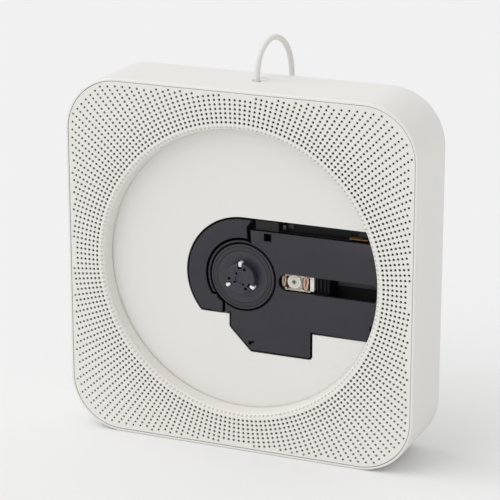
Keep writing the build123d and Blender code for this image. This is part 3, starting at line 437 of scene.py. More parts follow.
def turned(name, profile, finish, centre=(0.0, HUB_Z), steps=128, crease=CREASE):
    """Piece turned about a line along Y, from a closed or axis-to-axis list of (radius, y)."""
    form = bmesh.new()
    rings = []
    for radius, y in profile:
        turns = [tau * k / steps for k in range(steps if radius > 0 else 1)]
        rings.append(points_at(form, [(centre[0] + radius * cos(turn), y, centre[1] + radius * sin(turn))
                                      for turn in turns]))
    for low, high in zip(rings, rings[1:]):
        band(form, low, high)
    if len(rings[0]) > 1:
        band(form, rings[-1], rings[0])
    return as_piece(name, outward_mesh(form, name, crease), finish)


def loft(name, rings, finish):
    """Closed ring-shaped shell through equal loops of points in millimetres."""
    form = bmesh.new()
    loops = [points_at(form, places) for places in rings]
    for low, high in zip(loops, loops[1:] + loops[:1]):
        band(form, low, high)
    return as_piece(name, outward_mesh(form, name, CREASE), finish)


def tube(name, lines, radius, finish, sides=14):
    """Round tubes along lines of points in metres, each ring carried round the bends without twist."""
    form = bmesh.new()
    reach = radius * MM
    for line in lines:
        side = (line[1] - line[0]).orthogonal().normalized()
        rings = []
        for k, point in enumerate(line):
            direction = (line[min(k + 1, len(line) - 1)] - line[max(k - 1, 0)]).normalized()
            side = (side - direction * side.dot(direction)).normalized()
            other = direction.cross(side)
            spokes = [side * cos(tau * n / sides) + other * sin(tau * n / sides) for n in range(sides)]
            rings.append([form.verts.new(point + spoke * reach) for spoke in spokes])
        for low, high in zip(rings, rings[1:]):
            band(form, low, high)
        form.faces.new(rings[0][::-1])
        form.faces.new(rings[-1])
    return as_piece(name, outward_mesh(form, name, TUBE_CREASE), finish)


def slab(name, outline, front_y, back_y, ease, finish):
    """Flat piece with an (x, z) outline and eased edges, all in millimetres."""
    form = bmesh.new()
    front, back = [points_at(form, [(x, y, z) for x, z in outline]) for y in (front_y, back_y)]
    form.faces.new(front)
    form.faces.new(back)
    band(form, front, back)
    return eased(as_piece(name, outward_mesh(form, name, NO_CREASE), finish), ease)


def oblong(middle_x, middle_z, half_x, half_z, corner):
    """Outline of a rectangle with round corners, as (x, z) in millimetres."""
    steps = 6
    outline = []
    for side_x, side_z, start in ((1, 1, 0), (-1, 1, pi / 2), (-1, -1, pi), (1, -1, 3 * pi / 2)):
        for turn in [start + pi / 2 * k / steps for k in range(steps + 1)]:
            outline.append((middle_x + side_x * (half_x - corner) + corner * cos(turn),
                            middle_z + side_z * (half_z - corner) + corner * sin(turn)))
    return outline


def rounded_square(half, corner, steps=24, along=40):
    """Outline about the origin, as (x, z) in millimetres: each corner's arc, then the straight after it."""
    points = []
    for quarter in range(4):
        turn = quarter * pi / 2
        middle_x = (half - corner) * (cos(turn) - sin(turn))
        middle_z = (half - corner) * (sin(turn) + cos(turn))
        points += [(middle_x + corner * cos(bend), middle_z + corner * sin(bend))
                   for bend in [turn + pi / 2 * k / steps for k in range(steps + 1)]]
        start_x, start_z = points[-1]
        points += [(start_x - 2 * (half - corner) * cos(turn) * k / along,
                    start_z - 2 * (half - corner) * sin(turn) * k / along) for k in range(1, along)]
    return points


def merged_form(node):
    """Editable copy of a CAD piece, its points merged and its flat faces joined."""
    form = bmesh.new()
    form.from_mesh(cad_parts[node].data)
    bmesh.ops.remove_doubles(form, verts=form.verts, dist=1e-6)
    bmesh.ops.dissolve_limit(form, angle_limit=radians(0.6), verts=form.verts, edges=form.edges)
    return form


def eased_copy(name, node, width, finish, steps=2, moves=()):
    """Copy of a CAD piece whose sharp edges are eased by the width, in millimetres.

    Moves are (x, z, shift) for outline corners that first shift in the X-Z plane, all in millimetres."""
    form = merged_form(node)
    shifts = {(round(x, 2), round(z, 2)): shift for x, z, shift in moves}
    for vertex in form.verts:
        shift = shifts.get((round(vertex.co.x / MM, 2), round(vertex.co.z / MM, 2)))
        if shift:
            vertex.co += Vector((shift[0] * MM, 0, shift[1] * MM))
    for face in form.faces:
        face.smooth = True
    return eased(as_piece(name, mesh_from(form, name), finish), width, steps)


def eased(piece, width, steps=2):
    ease = piece.modifiers.new("ease", "BEVEL")
    ease.width = width * MM
    ease.segments = steps
    ease.limit_method = "ANGLE"
    ease.angle_limit = radians(CREASE)
    ease.harden_normals = True
    ease.use_clamp_overlap = True
    return settled(piece)


def settled(piece):
    """The piece with its modifiers worked into a plain mesh."""
    bpy.context.view_layer.update()
    graph = bpy.context.evaluated_depsgraph_get()
    worked = piece.evaluated_get(graph)
    mesh = bpy.data.meshes.new_from_object(worked, preserve_all_data_layers=True, depsgraph=graph)
    piece.modifiers.clear()
    piece.data = mesh
    return piece


# ---- geometry trees: what repeats or follows a rule ----
def growing_tree(name, floats, counts):
    tree = bpy.data.node_groups.new(name, "GeometryNodeTree")
    for kind, labels in (("Geometry", ["Geometry"]), ("Float", floats), ("Int", counts),
                         ("Material", ["Finish"])):
        for label in labels:
            tree.interface.new_socket(label, in_out="INPUT", socket_type="NodeSocket" + kind)
    tree.interface.new_socket("Geometry", in_out="OUTPUT", socket_type="NodeSocketGeometry")
    return tree, wire(tree, "NodeGroupInput").outputs


def end_tree(tree, shape, finish):
    real = made(tree, "GeometryNodeRealizeInstances", {"Geometry": shape})
    done = made(tree, "GeometryNodeSetMaterial", {"Geometry": real, "Material": finish})
    wire(tree, "NodeGroupOutput", {"Geometry": done})


def stood_up(tree, shape, middle):
    """Shape laid out in the X-Y plane, turned to face -Y with its origin at the middle, in metres."""
    return made(tree, "GeometryNodeTransform", {"Geometry": shape, "Translation": middle,
                                                "Rotation": (pi / 2, 0, 0)})


def joined(tree, *parts):
    """All the parts as one geometry."""
    join = wire(tree, "GeometryNodeJoinGeometry")
    for part in parts:
        tree.links.new(part, join.inputs[0])
    return join.outputs[0]


def long_side(tree, one, other):
    """Length of the long side over two sides at a right angle."""
    squares = [sum_up(tree, "MULTIPLY", side, side) for side in (one, other)]
    return sum_up(tree, "SQRT", sum_up(tree, "ADD", *squares))


def position_parts(tree):
    place = made(tree, "GeometryNodeInputPosition")
    return wire(tree, "ShaderNodeSeparateXYZ", {0: place}).outputs


def grown(name, tree, values, finish, seed_mesh=None):
    """Runs a geometry tree with the named values and keeps its plain mesh."""
    holder = new_object(name, seed_mesh or bpy.data.meshes.new(name))
    growth = holder.modifiers.new("growth", "NODES")
    growth.node_group = tree
    values = {**values, "Finish": finish}
    for item in tree.interface.items_tree:
        if item.in_out == "INPUT" and item.name in values:
            growth[item.identifier] = values[item.name]
    return settled(holder)


def perforation_tree():
    """Flat rounded square plate with a round opening, and holes where rings cross radial lines."""
    tree, given = growing_tree("perforated plate", [
        "Half Size", "Corner Radius", "Thickness", "Opening Radius", "First Ring", "Ring Pitch", "First Line",
        "Hole Radius", "First Ring Scale", "Far Ring", "Far Ring Scale", "Edge Margin"],
        ["Opening Sides", "Rings", "Lines"])
    corner_steps, hole_sides, merge_reach = 24, 14, 0.000005
    node, calc = partial(made, tree), partial(sum_up, tree)

    # one point for each hole, counted along a ring and then from ring to ring
    index = node("GeometryNodeInputIndex")
    ring = calc("FLOOR", calc("DIVIDE", index, given["Lines"]))
    line = calc("SUBTRACT", index, calc("MULTIPLY", ring, given["Lines"]))
    radius = calc("MULTIPLY_ADD", ring, given["Ring Pitch"], given["First Ring"])
    turn = calc("MULTIPLY_ADD", calc("DIVIDE", line, given["Lines"]), tau, given["First Line"])
    spot = node("ShaderNodeCombineXYZ", {0: calc("MULTIPLY", radius, calc("COSINE", turn)),
                                         1: calc("MULTIPLY", radius, calc("SINE", turn))})
    count = calc("MULTIPLY", given["Rings"], given["Lines"])
    points = node("GeometryNodePoints", {"Count": count, "Position": spot})

    # points too near the rounded square's edge are left out
    here = position_parts(tree)
    core = calc("SUBTRACT", given["Half Size"], given["Corner Radius"])
    past_core = [calc("MAXIMUM", calc("SUBTRACT", calc("ABSOLUTE", here[axis]), core), 0.0)
                 for axis in (0, 1)]
    room = calc("SUBTRACT", given["Corner Radius"], long_side(tree, *past_core))
    outside = node("FunctionNodeCompare", {0: room, 1: given["Edge Margin"]}, data_type="FLOAT",
                   operation="LESS_THAN")
    kept = node("GeometryNodeDeleteGeometry", {"Geometry": points, "Selection": outside},
                domain="POINT")

    # the holes, smaller outwards
    hole = node("GeometryNodeCurvePrimitiveCircle", {
        "Resolution": hole_sides, "Radius": given["Hole Radius"]}, mode="RADIUS")
    far = wire(tree, "ShaderNodeVectorMath", {0: node("GeometryNodeInputPosition")},
               operation="LENGTH").outputs["Value"]
    size = node("ShaderNodeMapRange", {0: far, 1: given["First Ring"], 2: given["Far Ring"],
                                       3: given["First Ring Scale"], 4: given["Far Ring Scale"]})
    holes = node("GeometryNodeInstanceOnPoints", {"Points": kept, "Instance": hole, "Scale": size})
    holes = node("GeometryNodeRealizeInstances", {"Geometry": holes})

    # the plate's outline and opening, filled between all the loops and given its thickness
    side = calc("MULTIPLY", given["Half Size"], 2.0)
    outline = node("GeometryNodeCurvePrimitiveQuadrilateral", {"Width": side, "Height": side})
    outline = node("GeometryNodeFilletCurve", {"Curve": outline, "Count": corner_steps,
                                               "Radius": given["Corner Radius"]}, mode="POLY")
    opening = node("GeometryNodeCurvePrimitiveCircle", {
        "Resolution": given["Opening Sides"], "Radius": given["Opening Radius"]}, mode="RADIUS")
    loops = joined(tree, holes, outline, opening)
    sheet = node("GeometryNodeFillCurve", {"Curve": loops}, mode="TRIANGLES")
    lift = node("ShaderNodeCombineXYZ", {2: given["Thickness"]})
    raised = node("GeometryNodeExtrudeMesh", {"Mesh": sheet, "Offset": lift, "Offset Scale": 1.0,
                                              "Individual": False}, mode="FACES")
    under = node("GeometryNodeFlipFaces", {"Mesh": sheet})
    plate = node("GeometryNodeMergeByDistance", {"Geometry": joined(tree, raised, under),
                                                 "Distance": merge_reach})
    end_tree(tree, stood_up(tree, plate, (0, (FRONT_Y + SHEET) * MM, MID_Z * MM)), given["Finish"])
    return tree


def pit_tree():
    """Presses a ring of shallow pits into a turned surface, one on each radial line."""
    tree, given = growing_tree("pressed pits", ["First Line", "Ring Radius", "Pit Radius", "Depth"],
                               ["Lines"])
    steepness, rounding = 3.0, 0.4
    node, calc = partial(made, tree), partial(sum_up, tree)
    here = position_parts(tree)
    height = calc("SUBTRACT", here[2], MID_Z * MM)
    turn = calc("SUBTRACT", calc("ARCTAN2", height, here[0]), given["First Line"])
    lines_on = calc("MULTIPLY", calc("DIVIDE", turn, tau), given["Lines"])
    off_line = calc("SUBTRACT", lines_on, calc("ROUND", lines_on))
    spacing = calc("DIVIDE", calc("MULTIPLY", given["Ring Radius"], tau), given["Lines"])
    sideways = calc("MULTIPLY", off_line, spacing)
    outward = calc("SUBTRACT", long_side(tree, here[0], height), given["Ring Radius"])
    near = calc("SUBTRACT", 1.0, calc("DIVIDE", long_side(tree, sideways, outward), given["Pit Radius"]))
    near = calc("MAXIMUM", near, 0.0)
    soft = calc("SMOOTH_MIN", calc("MULTIPLY", near, steepness), 1.0, rounding)
    front = node("FunctionNodeCompare", {0: here[1], 1: PITS_END_Y * MM}, data_type="FLOAT",
                 operation="LESS_THAN")
    push = node("ShaderNodeCombineXYZ", {1: calc("MULTIPLY", soft, given["Depth"])})
    moved = node("GeometryNodeSetPosition", {"Geometry": given["Geometry"], "Selection": front,
                                             "Offset": push})
    end_tree(tree, moved, given["Finish"])
    return tree


def screw_tree():
    """Copies one screw to the four corners of a rectangle in the X-Z plane, each turned a little further."""
    tree, given = growing_tree("four screws", ["Spacing X", "Spacing Z", "Depth"], [])
    turn_between = 0.7
    corners = made(tree, "GeometryNodeMeshGrid", {"Size X": given["Spacing X"], "Size Y": given["Spacing Z"],
                                                  "Vertices X": 2, "Vertices Y": 2})
    middle = made(tree, "ShaderNodeCombineXYZ", {1: given["Depth"], 2: MID_Z * MM})
    index = made(tree, "GeometryNodeInputIndex")
    turn = made(tree, "ShaderNodeCombineXYZ", {1: sum_up(tree, "MULTIPLY", index, turn_between)})
    copies = made(tree, "GeometryNodeInstanceOnPoints", {
        "Points": stood_up(tree, corners, middle), "Instance": given["Geometry"], "Rotation": turn})
    end_tree(tree, copies, given["Finish"])
    return tree


# ---- the screws in the back ----
SCREW_SEAT_Y = 14.5
SCREW_HEAD_R, SCREW_HEAD_H, SCREW_SHANK_R = 2.8, 1.8, 1.4


def cross_screw(name, length):
    """Pan head screw along Y with a tapered cross recess, seat at the origin, head towards +Y."""
    form = bmesh.new()
    steps = 40
    head_r, head_h, shank_r = SCREW_HEAD_R, SCREW_HEAD_H, SCREW_SHANK_R
    dome = [(shank_r, -length), (shank_r, -0.001), (head_r, 0.0), (head_r, head_h * 0.35),
            (head_r * 0.93, head_h * 0.72), (head_r * 0.74, head_h)]
    turns = [tau * k / steps for k in range(steps)]
    rings = [[form.verts.new((reach * cos(turn), y, reach * sin(turn))) for turn in turns]
             for reach, y in dome]
    for low, high in zip(rings, rings[1:]):
        band(form, low, high)
    form.faces.new(rings[0])
    arm, wide = head_r * 0.55, head_r * 0.13
    plus = [(arm, -wide), (arm, wide), (wide, wide), (wide, arm), (-wide, arm), (-wide, wide), (-arm, wide),
            (-arm, -wide), (-wide, -wide), (-wide, -arm), (wide, -arm), (wide, -wide)]
    top = [form.verts.new((x, head_h, z)) for x, z in plus]
    deep = [form.verts.new((x * 0.62, head_h * 0.25, z * 0.8)) for x, z in plus]
    band(form, top, deep)
    form.faces.new(deep)
    edges = [form.edges.get(ends) for loop in (rings[-1], top) for ends in zip(loop, loop[1:] + loop[:1])]
    bmesh.ops.triangle_fill(form, edges=edges, use_beauty=True)
    bmesh.ops.scale(form, verts=form.verts, vec=(MM, MM, MM))
    return outward_mesh(form, name, 28.0)


four_screws = screw_tree()
for screws, spread, length in (("case_screws", (156.0, 80.0), 24.4), ("well_screws", (108.0, 76.0), 17.9)):
    set_of_four = grown(screws + "_set", four_screws, {
        "Spacing X": spread[0] * MM, "Spacing Z": spread[1] * MM, "Depth": SCREW_SEAT_Y * MM}, screw_steel,
        cross_screw(screws, length))
    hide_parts(screws)
    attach(set_of_four, "case")

# ---- the front: perforated sheet, its folded edge, cloth behind it, rolled lip ----
plate_half = CASE / 2 - RIM - SEAM
plate_corner = CORNER - RIM - SEAM
front_plate = grown("front_plate", perforation_tree(), {
    "Half Size": (plate_half - EASE) * MM, "Corner Radius": (plate_corner - EASE) * MM,
    "Thickness": SHEET * MM, "Opening Radius": PLATE_INNER_R * MM, "Opening Sides": LINES * 6,
    "First Ring": FIRST_RING_R * MM, "Ring Pitch": RING_PITCH * MM, "Rings": RINGS, "Lines": LINES,
    "First Line": LINE_TURN, "Hole Radius": HOLE_R * MM, "First Ring Scale": FIRST_RING_SCALE,
    "Far Ring": LAST_RING_R * MM, "Far Ring Scale": LAST_RING_SCALE,
    "Edge Margin": (EDGE_MARGIN - EASE) * MM}, front_white)
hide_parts("front_grille")
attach(front_plate, "case")

FOLD_STEPS = 5
fold = [(EASE, FRONT_Y)]
fold += [(EASE - EASE * sin(bend), FRONT_Y + EASE - EASE * cos(bend))
         for bend in [pi / 2 * k / FOLD_STEPS for k in range(1, FOLD_STEPS + 1)]]
fold += [(0.0, LEDGE_Y), (FOLD, LEDGE_Y), (FOLD, FRONT_Y + SHEET), (EASE, FRONT_Y + SHEET)]
plate_edge = loft("plate_edge", [
    [(x, y, MID_Z + z) for x, z in rounded_square(plate_half - inset, plate_corner - inset)]
    for inset, y in fold], front_white)

CLOTH_INSET, CLOTH_INNER_R = 1.35, 70.4
cloth_front, cloth_back = FRONT_Y + SHEET + 0.05, FRONT_Y + SHEET + 0.45
cloth_outer = rounded_square(plate_half - CLOTH_INSET, plate_corner - CLOTH_INSET)
cloth_inner = [(x / math.hypot(x, z) * CLOTH_INNER_R, z / math.hypot(x, z) * CLOTH_INNER_R)
               for x, z in cloth_outer]
cloth_sheet = loft("cloth_sheet", [[(x, y, MID_Z + z) for x, z in edge] for edge, y in (
    (cloth_outer, cloth_front), (cloth_inner, cloth_front), (cloth_inner, cloth_back),
    (cloth_outer, cloth_back))], speaker_cloth)
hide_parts("grille_cloth")
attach(cloth_sheet, "case")

ROLL_DEGREES, ROLL_STEPS = 96, 24
lip_profile = [(PLATE_INNER_R, FRONT_Y), (PLATE_INNER_R - 0.25, FRONT_Y + 0.004),
               (PLATE_INNER_R - 0.5, FRONT_Y + 0.016)]
for step in range(1, ROLL_STEPS + 1):
    bend = radians(ROLL_DEGREES) * step / ROLL_STEPS
    lip_profile.append((OPENING_R - 0.25 - LIP_R * sin(bend), FRONT_Y + 0.02 + LIP_R * (1 - cos(bend))))
lip_profile += [
    (67.55, -17.1), (WELL_R - 0.12, LIP_FOOT_Y - 0.29), (WELL_R - 0.08, LIP_FOOT_Y - 0.12),
    (WELL_R + 0.04, LIP_FOOT_Y - 0.02), (WELL_R + 0.3, LIP_FOOT_Y), (SKIRT_R, LIP_FOOT_Y),
    (OPENING_R, LEDGE_Y), (PLATE_INNER_R, LEDGE_Y)]
lip_blank = turned("lip_blank", lip_profile, front_white, (0.0, MID_Z), LINES * 10, 40.0)
lip_mesh = lip_blank.data
bpy.data.objects.remove(lip_blank)
well_lip = grown("well_lip", pit_tree(), {
    "Lines": LINES, "First Line": LINE_TURN, "Ring Radius": PIT_RING_R * MM, "Pit Radius": PIT_R * MM,
    "Depth": PIT_DEPTH * MM}, front_white, lip_mesh)
for piece in (plate_edge, well_lip):
    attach(piece, "case")


# ---- the two black plates of the mechanism, each inset within a near-black band of painted shade ----
def front_outline(node):
    """Outer outline of a black plate's front face, in order, as (x, z) in millimetres."""
    form = merged_form(node)
    steps = {}
    for edge in form.edges:
        flat = [face for face in edge.link_faces
                if face.normal.y < -0.9 and abs(face.verts[0].co.y / MM - PLATES_Y) < 0.01]
        if len(flat) == 1:
            for one, other in (edge.verts, reversed(edge.verts)):
                steps.setdefault(one, []).append(other)
    loops = []
    while steps:
        here = next(iter(steps))
        loop = [here]
        while True:
            onward = [vertex for vertex in steps.pop(here) if vertex in steps]
            if not onward:
                break
            here = onward[0]
            loop.append(here)
        loops.append([(vertex.co.x / MM, vertex.co.z / MM) for vertex in loop])
    form.free()
    return max(loops, key=lambda loop: max(x for x, z in loop) - min(x for x, z in loop))


def inward(outline):
    """Inward shift at each corner that moves both its sides by one millimetre."""
    count = len(outline)
    area = sum(outline[k - 1][0] * outline[k][1] - outline[k][0] * outline[k - 1][1] for k in range(count))
    sides = []
    for k in range(count):
        run = Vector(outline[(k + 1) % count]) - Vector(outline[k])
        sides.append(Vector((-run.y, run.x)).normalized() * (1 if area > 0 else -1))
    return [(sides[k - 1] + sides[k]) / max(1 + sides[k - 1].dot(sides[k]), 0.35) for k in range(count)]


def distance_to(outline, x, z):
    """Shortest distance from a point to a closed outline."""
    best = math.inf
    for k, (end_x, end_z) in enumerate(outline):
        start_x, start_z = outline[k - 1]
        run_x, run_z = end_x - start_x, end_z - start_z
        share = ((x - start_x) * run_x + (z - start_z) * run_z) / max(run_x * run_x + run_z * run_z, 1e-9)
        share = min(max(share, 0.0), 1.0)
        best = min(best, math.hypot(x - start_x - share * run_x, z - start_z - share * run_z))
    return best


# painted shade: each plate is drawn smaller by the band's width, and a near-black band fills the space round
# it as the shadow in the gap
WIDE_SHADE_BAND, THIN_SHADE_BAND = 0.72, 0.16
THIN_WITHIN, THIN_PAST_R = 1.3, 64.5  # thin close to the other plate, and close to the well's wall
SHADE_BAND_TUCK = 0.97
SHADE_BAND_FRONT_Y, SHADE_BAND_BACK_Y = PLATES_Y + 0.45, PLATES_Y + 1.4
plate_nodes = {"cover_plate": "mech_cover", "crescent_plate": "mech_surround"}
outlines = {plate: front_outline(node) for plate, node in plate_nodes.items()}
for plate, node in plate_nodes.items():
    outline = outlines[plate]
    beside = outlines["crescent_plate" if plate == "cover_plate" else "cover_plate"]
    moves = []
    for (x, z), shift in zip(outline, inward(outline)):
        crowded = distance_to(beside, x, z) < THIN_WITHIN or math.hypot(x, z - MID_Z) > THIN_PAST_R
        moves.append((x, z, shift * (THIN_SHADE_BAND if crowded else WIDE_SHADE_BAND)))
    cover = eased_copy(plate, node, 0.34, cover_black, 3, moves)
    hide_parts(node)
    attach(cover, "case")
    inner = [(x + shift[0] * SHADE_BAND_TUCK, z + shift[1] * SHADE_BAND_TUCK) for x, z, shift in moves]
    shade_band = loft(plate + "_shade_band", [[(x, y, z) for x, z in edge] for edge, y in (
        (outline, SHADE_BAND_FRONT_Y), (inner, SHADE_BAND_FRONT_Y), (inner, SHADE_BAND_BACK_Y),
        (outline, SHADE_BAND_BACK_Y))], shade_black)
    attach(shade_band, "case")

# a dark grey sheet behind the sled keeps light off the back of the slot, and its own tone is painted shade
# for the slot's depths; a rail crosses in front of it
slot_shade_sheet = slab("slot_shade_sheet", oblong(41.0, 82.0, 36.0, 20.5, 3.0), 7.9, 8.3, 0.1, slot_shade_grey)
slot_rail = slab("slot_rail", oblong(57.0, 81.8, 20.0, 2.6, 0.4), 2.3, 3.6, 0.2, rail_grey)
for piece in (slot_shade_sheet, slot_rail):
    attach(piece, "case")

# ---- turntable, hub and the small parts with eased edges ----
turntable_plate = turned("turntable_plate", [
    (1.02, -8.6), (3.0, -8.6), (3.0, -11.6), (14.8, -11.6), (15.5, -12.1), (15.5, -13.30), (15.36, -13.52),
    (15.1, -13.60), (14.62, -13.60), (14.52, -13.46), (14.42, -13.30), (12.38, -13.30), (12.34, -13.58),
    (11.6, -13.54), (9.4, -13.26), (8.2, -13.2), (1.02, -13.2)], turntable_black, steps=160, crease=28.0)
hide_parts("turntable")
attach(turntable_plate, "turntable")

# the hub's holes as (distance from its axis, angle, widening), each with a near-black disc of painted shade
# at its bottom
hub_holes = [(5.3, turn, 1.45) for turn in (63.0, 183.0, 303.0)]
hub_holes += [(3.0, turn, 1.3) for turn in (124.0, 214.0, 304.0)]
HOLE_EDGE_REACH = 0.62
hub_points = merged_form("disc_hub")
widened = []
for number, (reach, turn, factor) in enumerate(hub_holes, 1):
    hole = (reach * cos(radians(turn)), HUB_Z + reach * sin(radians(turn)))
    for vertex in hub_points.verts:
        off = Vector((vertex.co.x / MM, vertex.co.z / MM)) - Vector(hole)
        if off.length < HOLE_EDGE_REACH:
            widened.append((vertex.co.x / MM, vertex.co.z / MM, off * (factor - 1)))
    hub_shade_y = HUB_FRONT_Y + 0.3
    hole_shade = turned(f"hub_hole_shade_{number}", [(0.0, hub_shade_y), (0.5 * factor, hub_shade_y), (0.5 * factor, hub_shade_y + 0.12),
                                       (0.0, hub_shade_y + 0.12)], shade_black, hole, 20)
    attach(hole_shade, "turntable")
hub_points.free()
disc_hub_cap = eased_copy("disc_hub_cap", "disc_hub", 0.08, turntable_black, moves=widened)
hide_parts("disc_hub")
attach(disc_hub_cap, "turntable")

eased_parts = {
    "turntable_ring": ("turntable_mat", 0.10, rubber_black, "turntable"),
    "claw_top": ("hub_claw_1", 0.10, claw_white, "claw_1"),
    "claw_left": ("hub_claw_2", 0.10, claw_white, "claw_2"),
    "claw_right": ("hub_claw_3", 0.10, claw_white, "claw_3"),
    "wall_plate": ("wall_bracket", 0.35, bracket_paint, "bracket"),
    "sled_body": ("pickup_base", 0.18, sled_grey, "sled"),
    "lens_seat": ("lens_holder", 0.22, holder_cream, "lens"),
    "plug_sleeve": ("plug_grip", 0.15, plug_white, "case"),
}
for key in KEYS:
    eased_parts["key_cap_" + key] = ("button_" + key, 0.3, case_white, "key_" + key)
for piece_name, (node, width, finish, body) in eased_parts.items():
    part = eased_copy(piece_name, node, width, finish)
    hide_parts(node)
    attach(part, body)

# ---- the cord's grommet and its return spring ----
# the case's cord hole is an oblong along Y; the grommet stays just inside it
CORD_HOLE_X, CORD_HOLE_NEAR_Y, CORD_HOLE_FAR_Y, CORD_HOLE_R = 2.0, 1.3, 4.7, 3.2
GROMMET_LOW_Z, GROMMET_TOP_Z, GROMMET_BORE_R = 169.6, 171.66, 1.98


def hole_reach(turn):
    """Distance from the stem's axis to just inside the case's cord hole, in millimetres."""
    reach = 2.0
    while True:
        x, y = STEM_X + reach * cos(turn), STEM_Y + reach * sin(turn)
        if math.hypot(x - CORD_HOLE_X, y - min(max(y, CORD_HOLE_NEAR_Y), CORD_HOLE_FAR_Y)) > CORD_HOLE_R:
            return reach
        reach += 0.01


GROMMET_SIDES = 72
around = [tau * k / GROMMET_SIDES for k in range(GROMMET_SIDES)]
bore, bore_edge = [[reach] * GROMMET_SIDES for reach in (GROMMET_BORE_R, GROMMET_BORE_R + 0.14)]
outside = [hole_reach(turn) for turn in around]
grommet = loft("cord_grommet", [
    [(STEM_X + reach * cos(turn), STEM_Y + reach * sin(turn), z) for reach, turn in zip(reaches, around)]
    for reaches, z in ((bore, GROMMET_LOW_Z), (bore, GROMMET_TOP_Z - 0.16), (bore_edge, GROMMET_TOP_Z),
                       (outside, GROMMET_TOP_Z), (outside, GROMMET_LOW_Z))], case_white)
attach(grommet, "case")

# the spring stands on the stem's flange and closes up towards the case's top as the cord is pulled
SPRING_LOW, SPRING_TOP, SPRING_TURNS, SPRING_R, SPRING_WIRE_R = 153.4, 165.8, 5, 2.9, 0.28
SPRING_STEPS = 240
spring_line = []
for step in range(SPRING_STEPS + 1):
    share = step / SPRING_STEPS
    turn = SPRING_TURNS * tau * share
    spring_line.append(Vector(((STEM_X + SPRING_R * cos(turn)) * MM, (STEM_Y + SPRING_R * sin(turn)) * MM,
                               (SPRING_LOW + (SPRING_TOP - SPRING_LOW) * share) * MM)))
return_spring = tube("return_spring", [spring_line], SPRING_WIRE_R, rod_steel, 10)
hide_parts("pull_spring")
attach(return_spring, "case")
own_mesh(return_spring)

# ---- the lens unit: glass in its bezel, copper windings on thin cards, the wires it hangs on ----
CARD_FRONT_Y, CARD_BACK_Y = -11.19, -11.11
WINDING_Y, WINDING_WIRE_R, WINDING_PITCH = -11.27, 0.115, 0.25
HANGING_Y, HANGING_WIRE_R = -11.3, 0.14


def about_lens(across, up, y):
    """Point in metres, from millimetres across and up from the lens's axis."""
    return Vector(((LENS_X + across) * MM, y * MM, (HUB_Z + up) * MM))


def flat_winding(across, up, half_width, half_height, turns, steps=48):
    """Line of a flat coil of rounded oblong turns, each lying inside the last."""
    line = []
    for step in range(turns * steps + 1):
        inset = WINDING_PITCH * step / steps
        c, s = cos(tau * step / steps), sin(tau * step / steps)
        line.append(about_lens(across + (half_width - inset) * math.copysign(abs(c) ** 0.62, c),
                               up + (half_height - inset) * math.copysign(abs(s) ** 0.45, s), WINDING_Y))
    return line


lens_middle = (LENS_X, HUB_Z)
lens_front = turned("lens_front", [
    (0.0, -11.55), (0.5, -11.53), (0.9, -11.48), (1.25, -11.40), (1.4, -11.36), (2.1, -11.36), (2.2, -11.28),
    (2.2, -9.6), (0.0, -9.6)], lens_painted_look, lens_middle, 96)
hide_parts("objective_lens")
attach(lens_front, "lens")
bezel_ring = turned("bezel_ring", [
    (2.26, -11.18), (2.26, -11.34), (2.42, -11.44), (2.86, -11.42), (3.12, -11.30), (3.15, -11.18)],
    bezel_pale, lens_middle, 96)
windings = tube("windings", [flat_winding(5.72, -0.15, 1.25, 3.1, 4), flat_winding(-5.0, -0.2, 0.95, 2.5, 3)],
                WINDING_WIRE_R, coil_copper, 8)
card_places = (("winding_card_left", 20.0, 1.5), ("winding_card_right", 30.15, 1.55))
cards = [slab(name, oblong(middle_x, HUB_Z - 0.33, half_x, 4.05, 0.6), CARD_FRONT_Y, CARD_BACK_Y, 0.02,
              yoke_dark) for name, middle_x, half_x in card_places]
solder_profile = [(0.0, -11.5), (0.28, -11.46), (0.5, -11.34), (0.6, -11.2), (0.61, -11.14), (0.0, -11.14)]
solder_places = ((-4.1, 2.95), (-4.1, -3.5), (4.1, 3.15), (4.1, -3.75))
solder_dots = [turned(f"solder_dot_{number}", solder_profile, wire_bronze, (LENS_X + across, HUB_Z + up), 24)
               for number, (across, up) in enumerate(solder_places, 1)]
for piece in (bezel_ring, windings, *cards, *solder_dots):
    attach(piece, "lens")

wire_block = slab("wire_block", oblong(33.15, HUB_Z + 0.1, 0.95, 3.8, 0.3), -10.9, -9.2, 0.14, claw_white)
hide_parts("suspension_block")
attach(wire_block, "sled")
hanging_wires = tube("hanging_wires", [
    [about_lens(-4.4 + 1.25 * k, up, HANGING_Y) for k in range(11)] for up in (3.25, 2.75, -3.5, -3.95)],
    HANGING_WIRE_R, wire_bronze, 8)
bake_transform(hanging_wires)

# ---- the cord: loop at the top, drop behind the case, coil, tail ----
CORD_D = 2.7
COIL_X, COIL_Y = -30.0, 46.0
COIL_LOW_Z = 0.85 + CORD_D / 2
COIL_TOP_Z = COIL_LOW_Z + 3 * CORD_D
INNER_TRACK_R = 10.95
OUTER_TRACK_R = 19.05
STEPS_A_TURN = 16


def coil_points():
    """Control points of the wound part: four layers of four turns, changing track one after another."""
    # each change is (turn it starts at, share of a turn it takes, tracks out, layers up)
    changes = [(turn + 0.78, 0.16, -1, 0) for turn in (0, 1, 2)] + [(3.65, 0.15, 0, -1)]
    changes += [(turn + 0.51, 0.16, 1, 0) for turn in (4, 5, 6)] + [(7.42, 0.10, 0, -1)]
    changes += [(turn + 0.27, 0.16, -1, 0) for turn in (8, 9, 10)] + [(11.14, 0.15, 0, -1)]
    changes += [(turn + 0.0, 0.16, 1, 0) for turn in (12, 13, 14)]
    reach = 1 / cos(pi / STEPS_A_TURN)
    points = []
    for step in range(int(14.5 * STEPS_A_TURN)):
        turns = (step + 0.5) / STEPS_A_TURN
        track, layer = 3.0, 3.0
        for start, span, track_step, layer_step in changes:
            share = min(max((turns - start) / span, 0.0), 1.0)
            done = share * share * (3 - 2 * share)
            track += track_step * done
            layer += layer_step * done
        radius = (INNER_TRACK_R + track * CORD_D) * reach
        angle = -pi / 2 - tau * turns
        points.append((COIL_X + radius * cos(angle), COIL_Y + radius * sin(angle),
                       COIL_LOW_Z + layer * CORD_D))
    return points


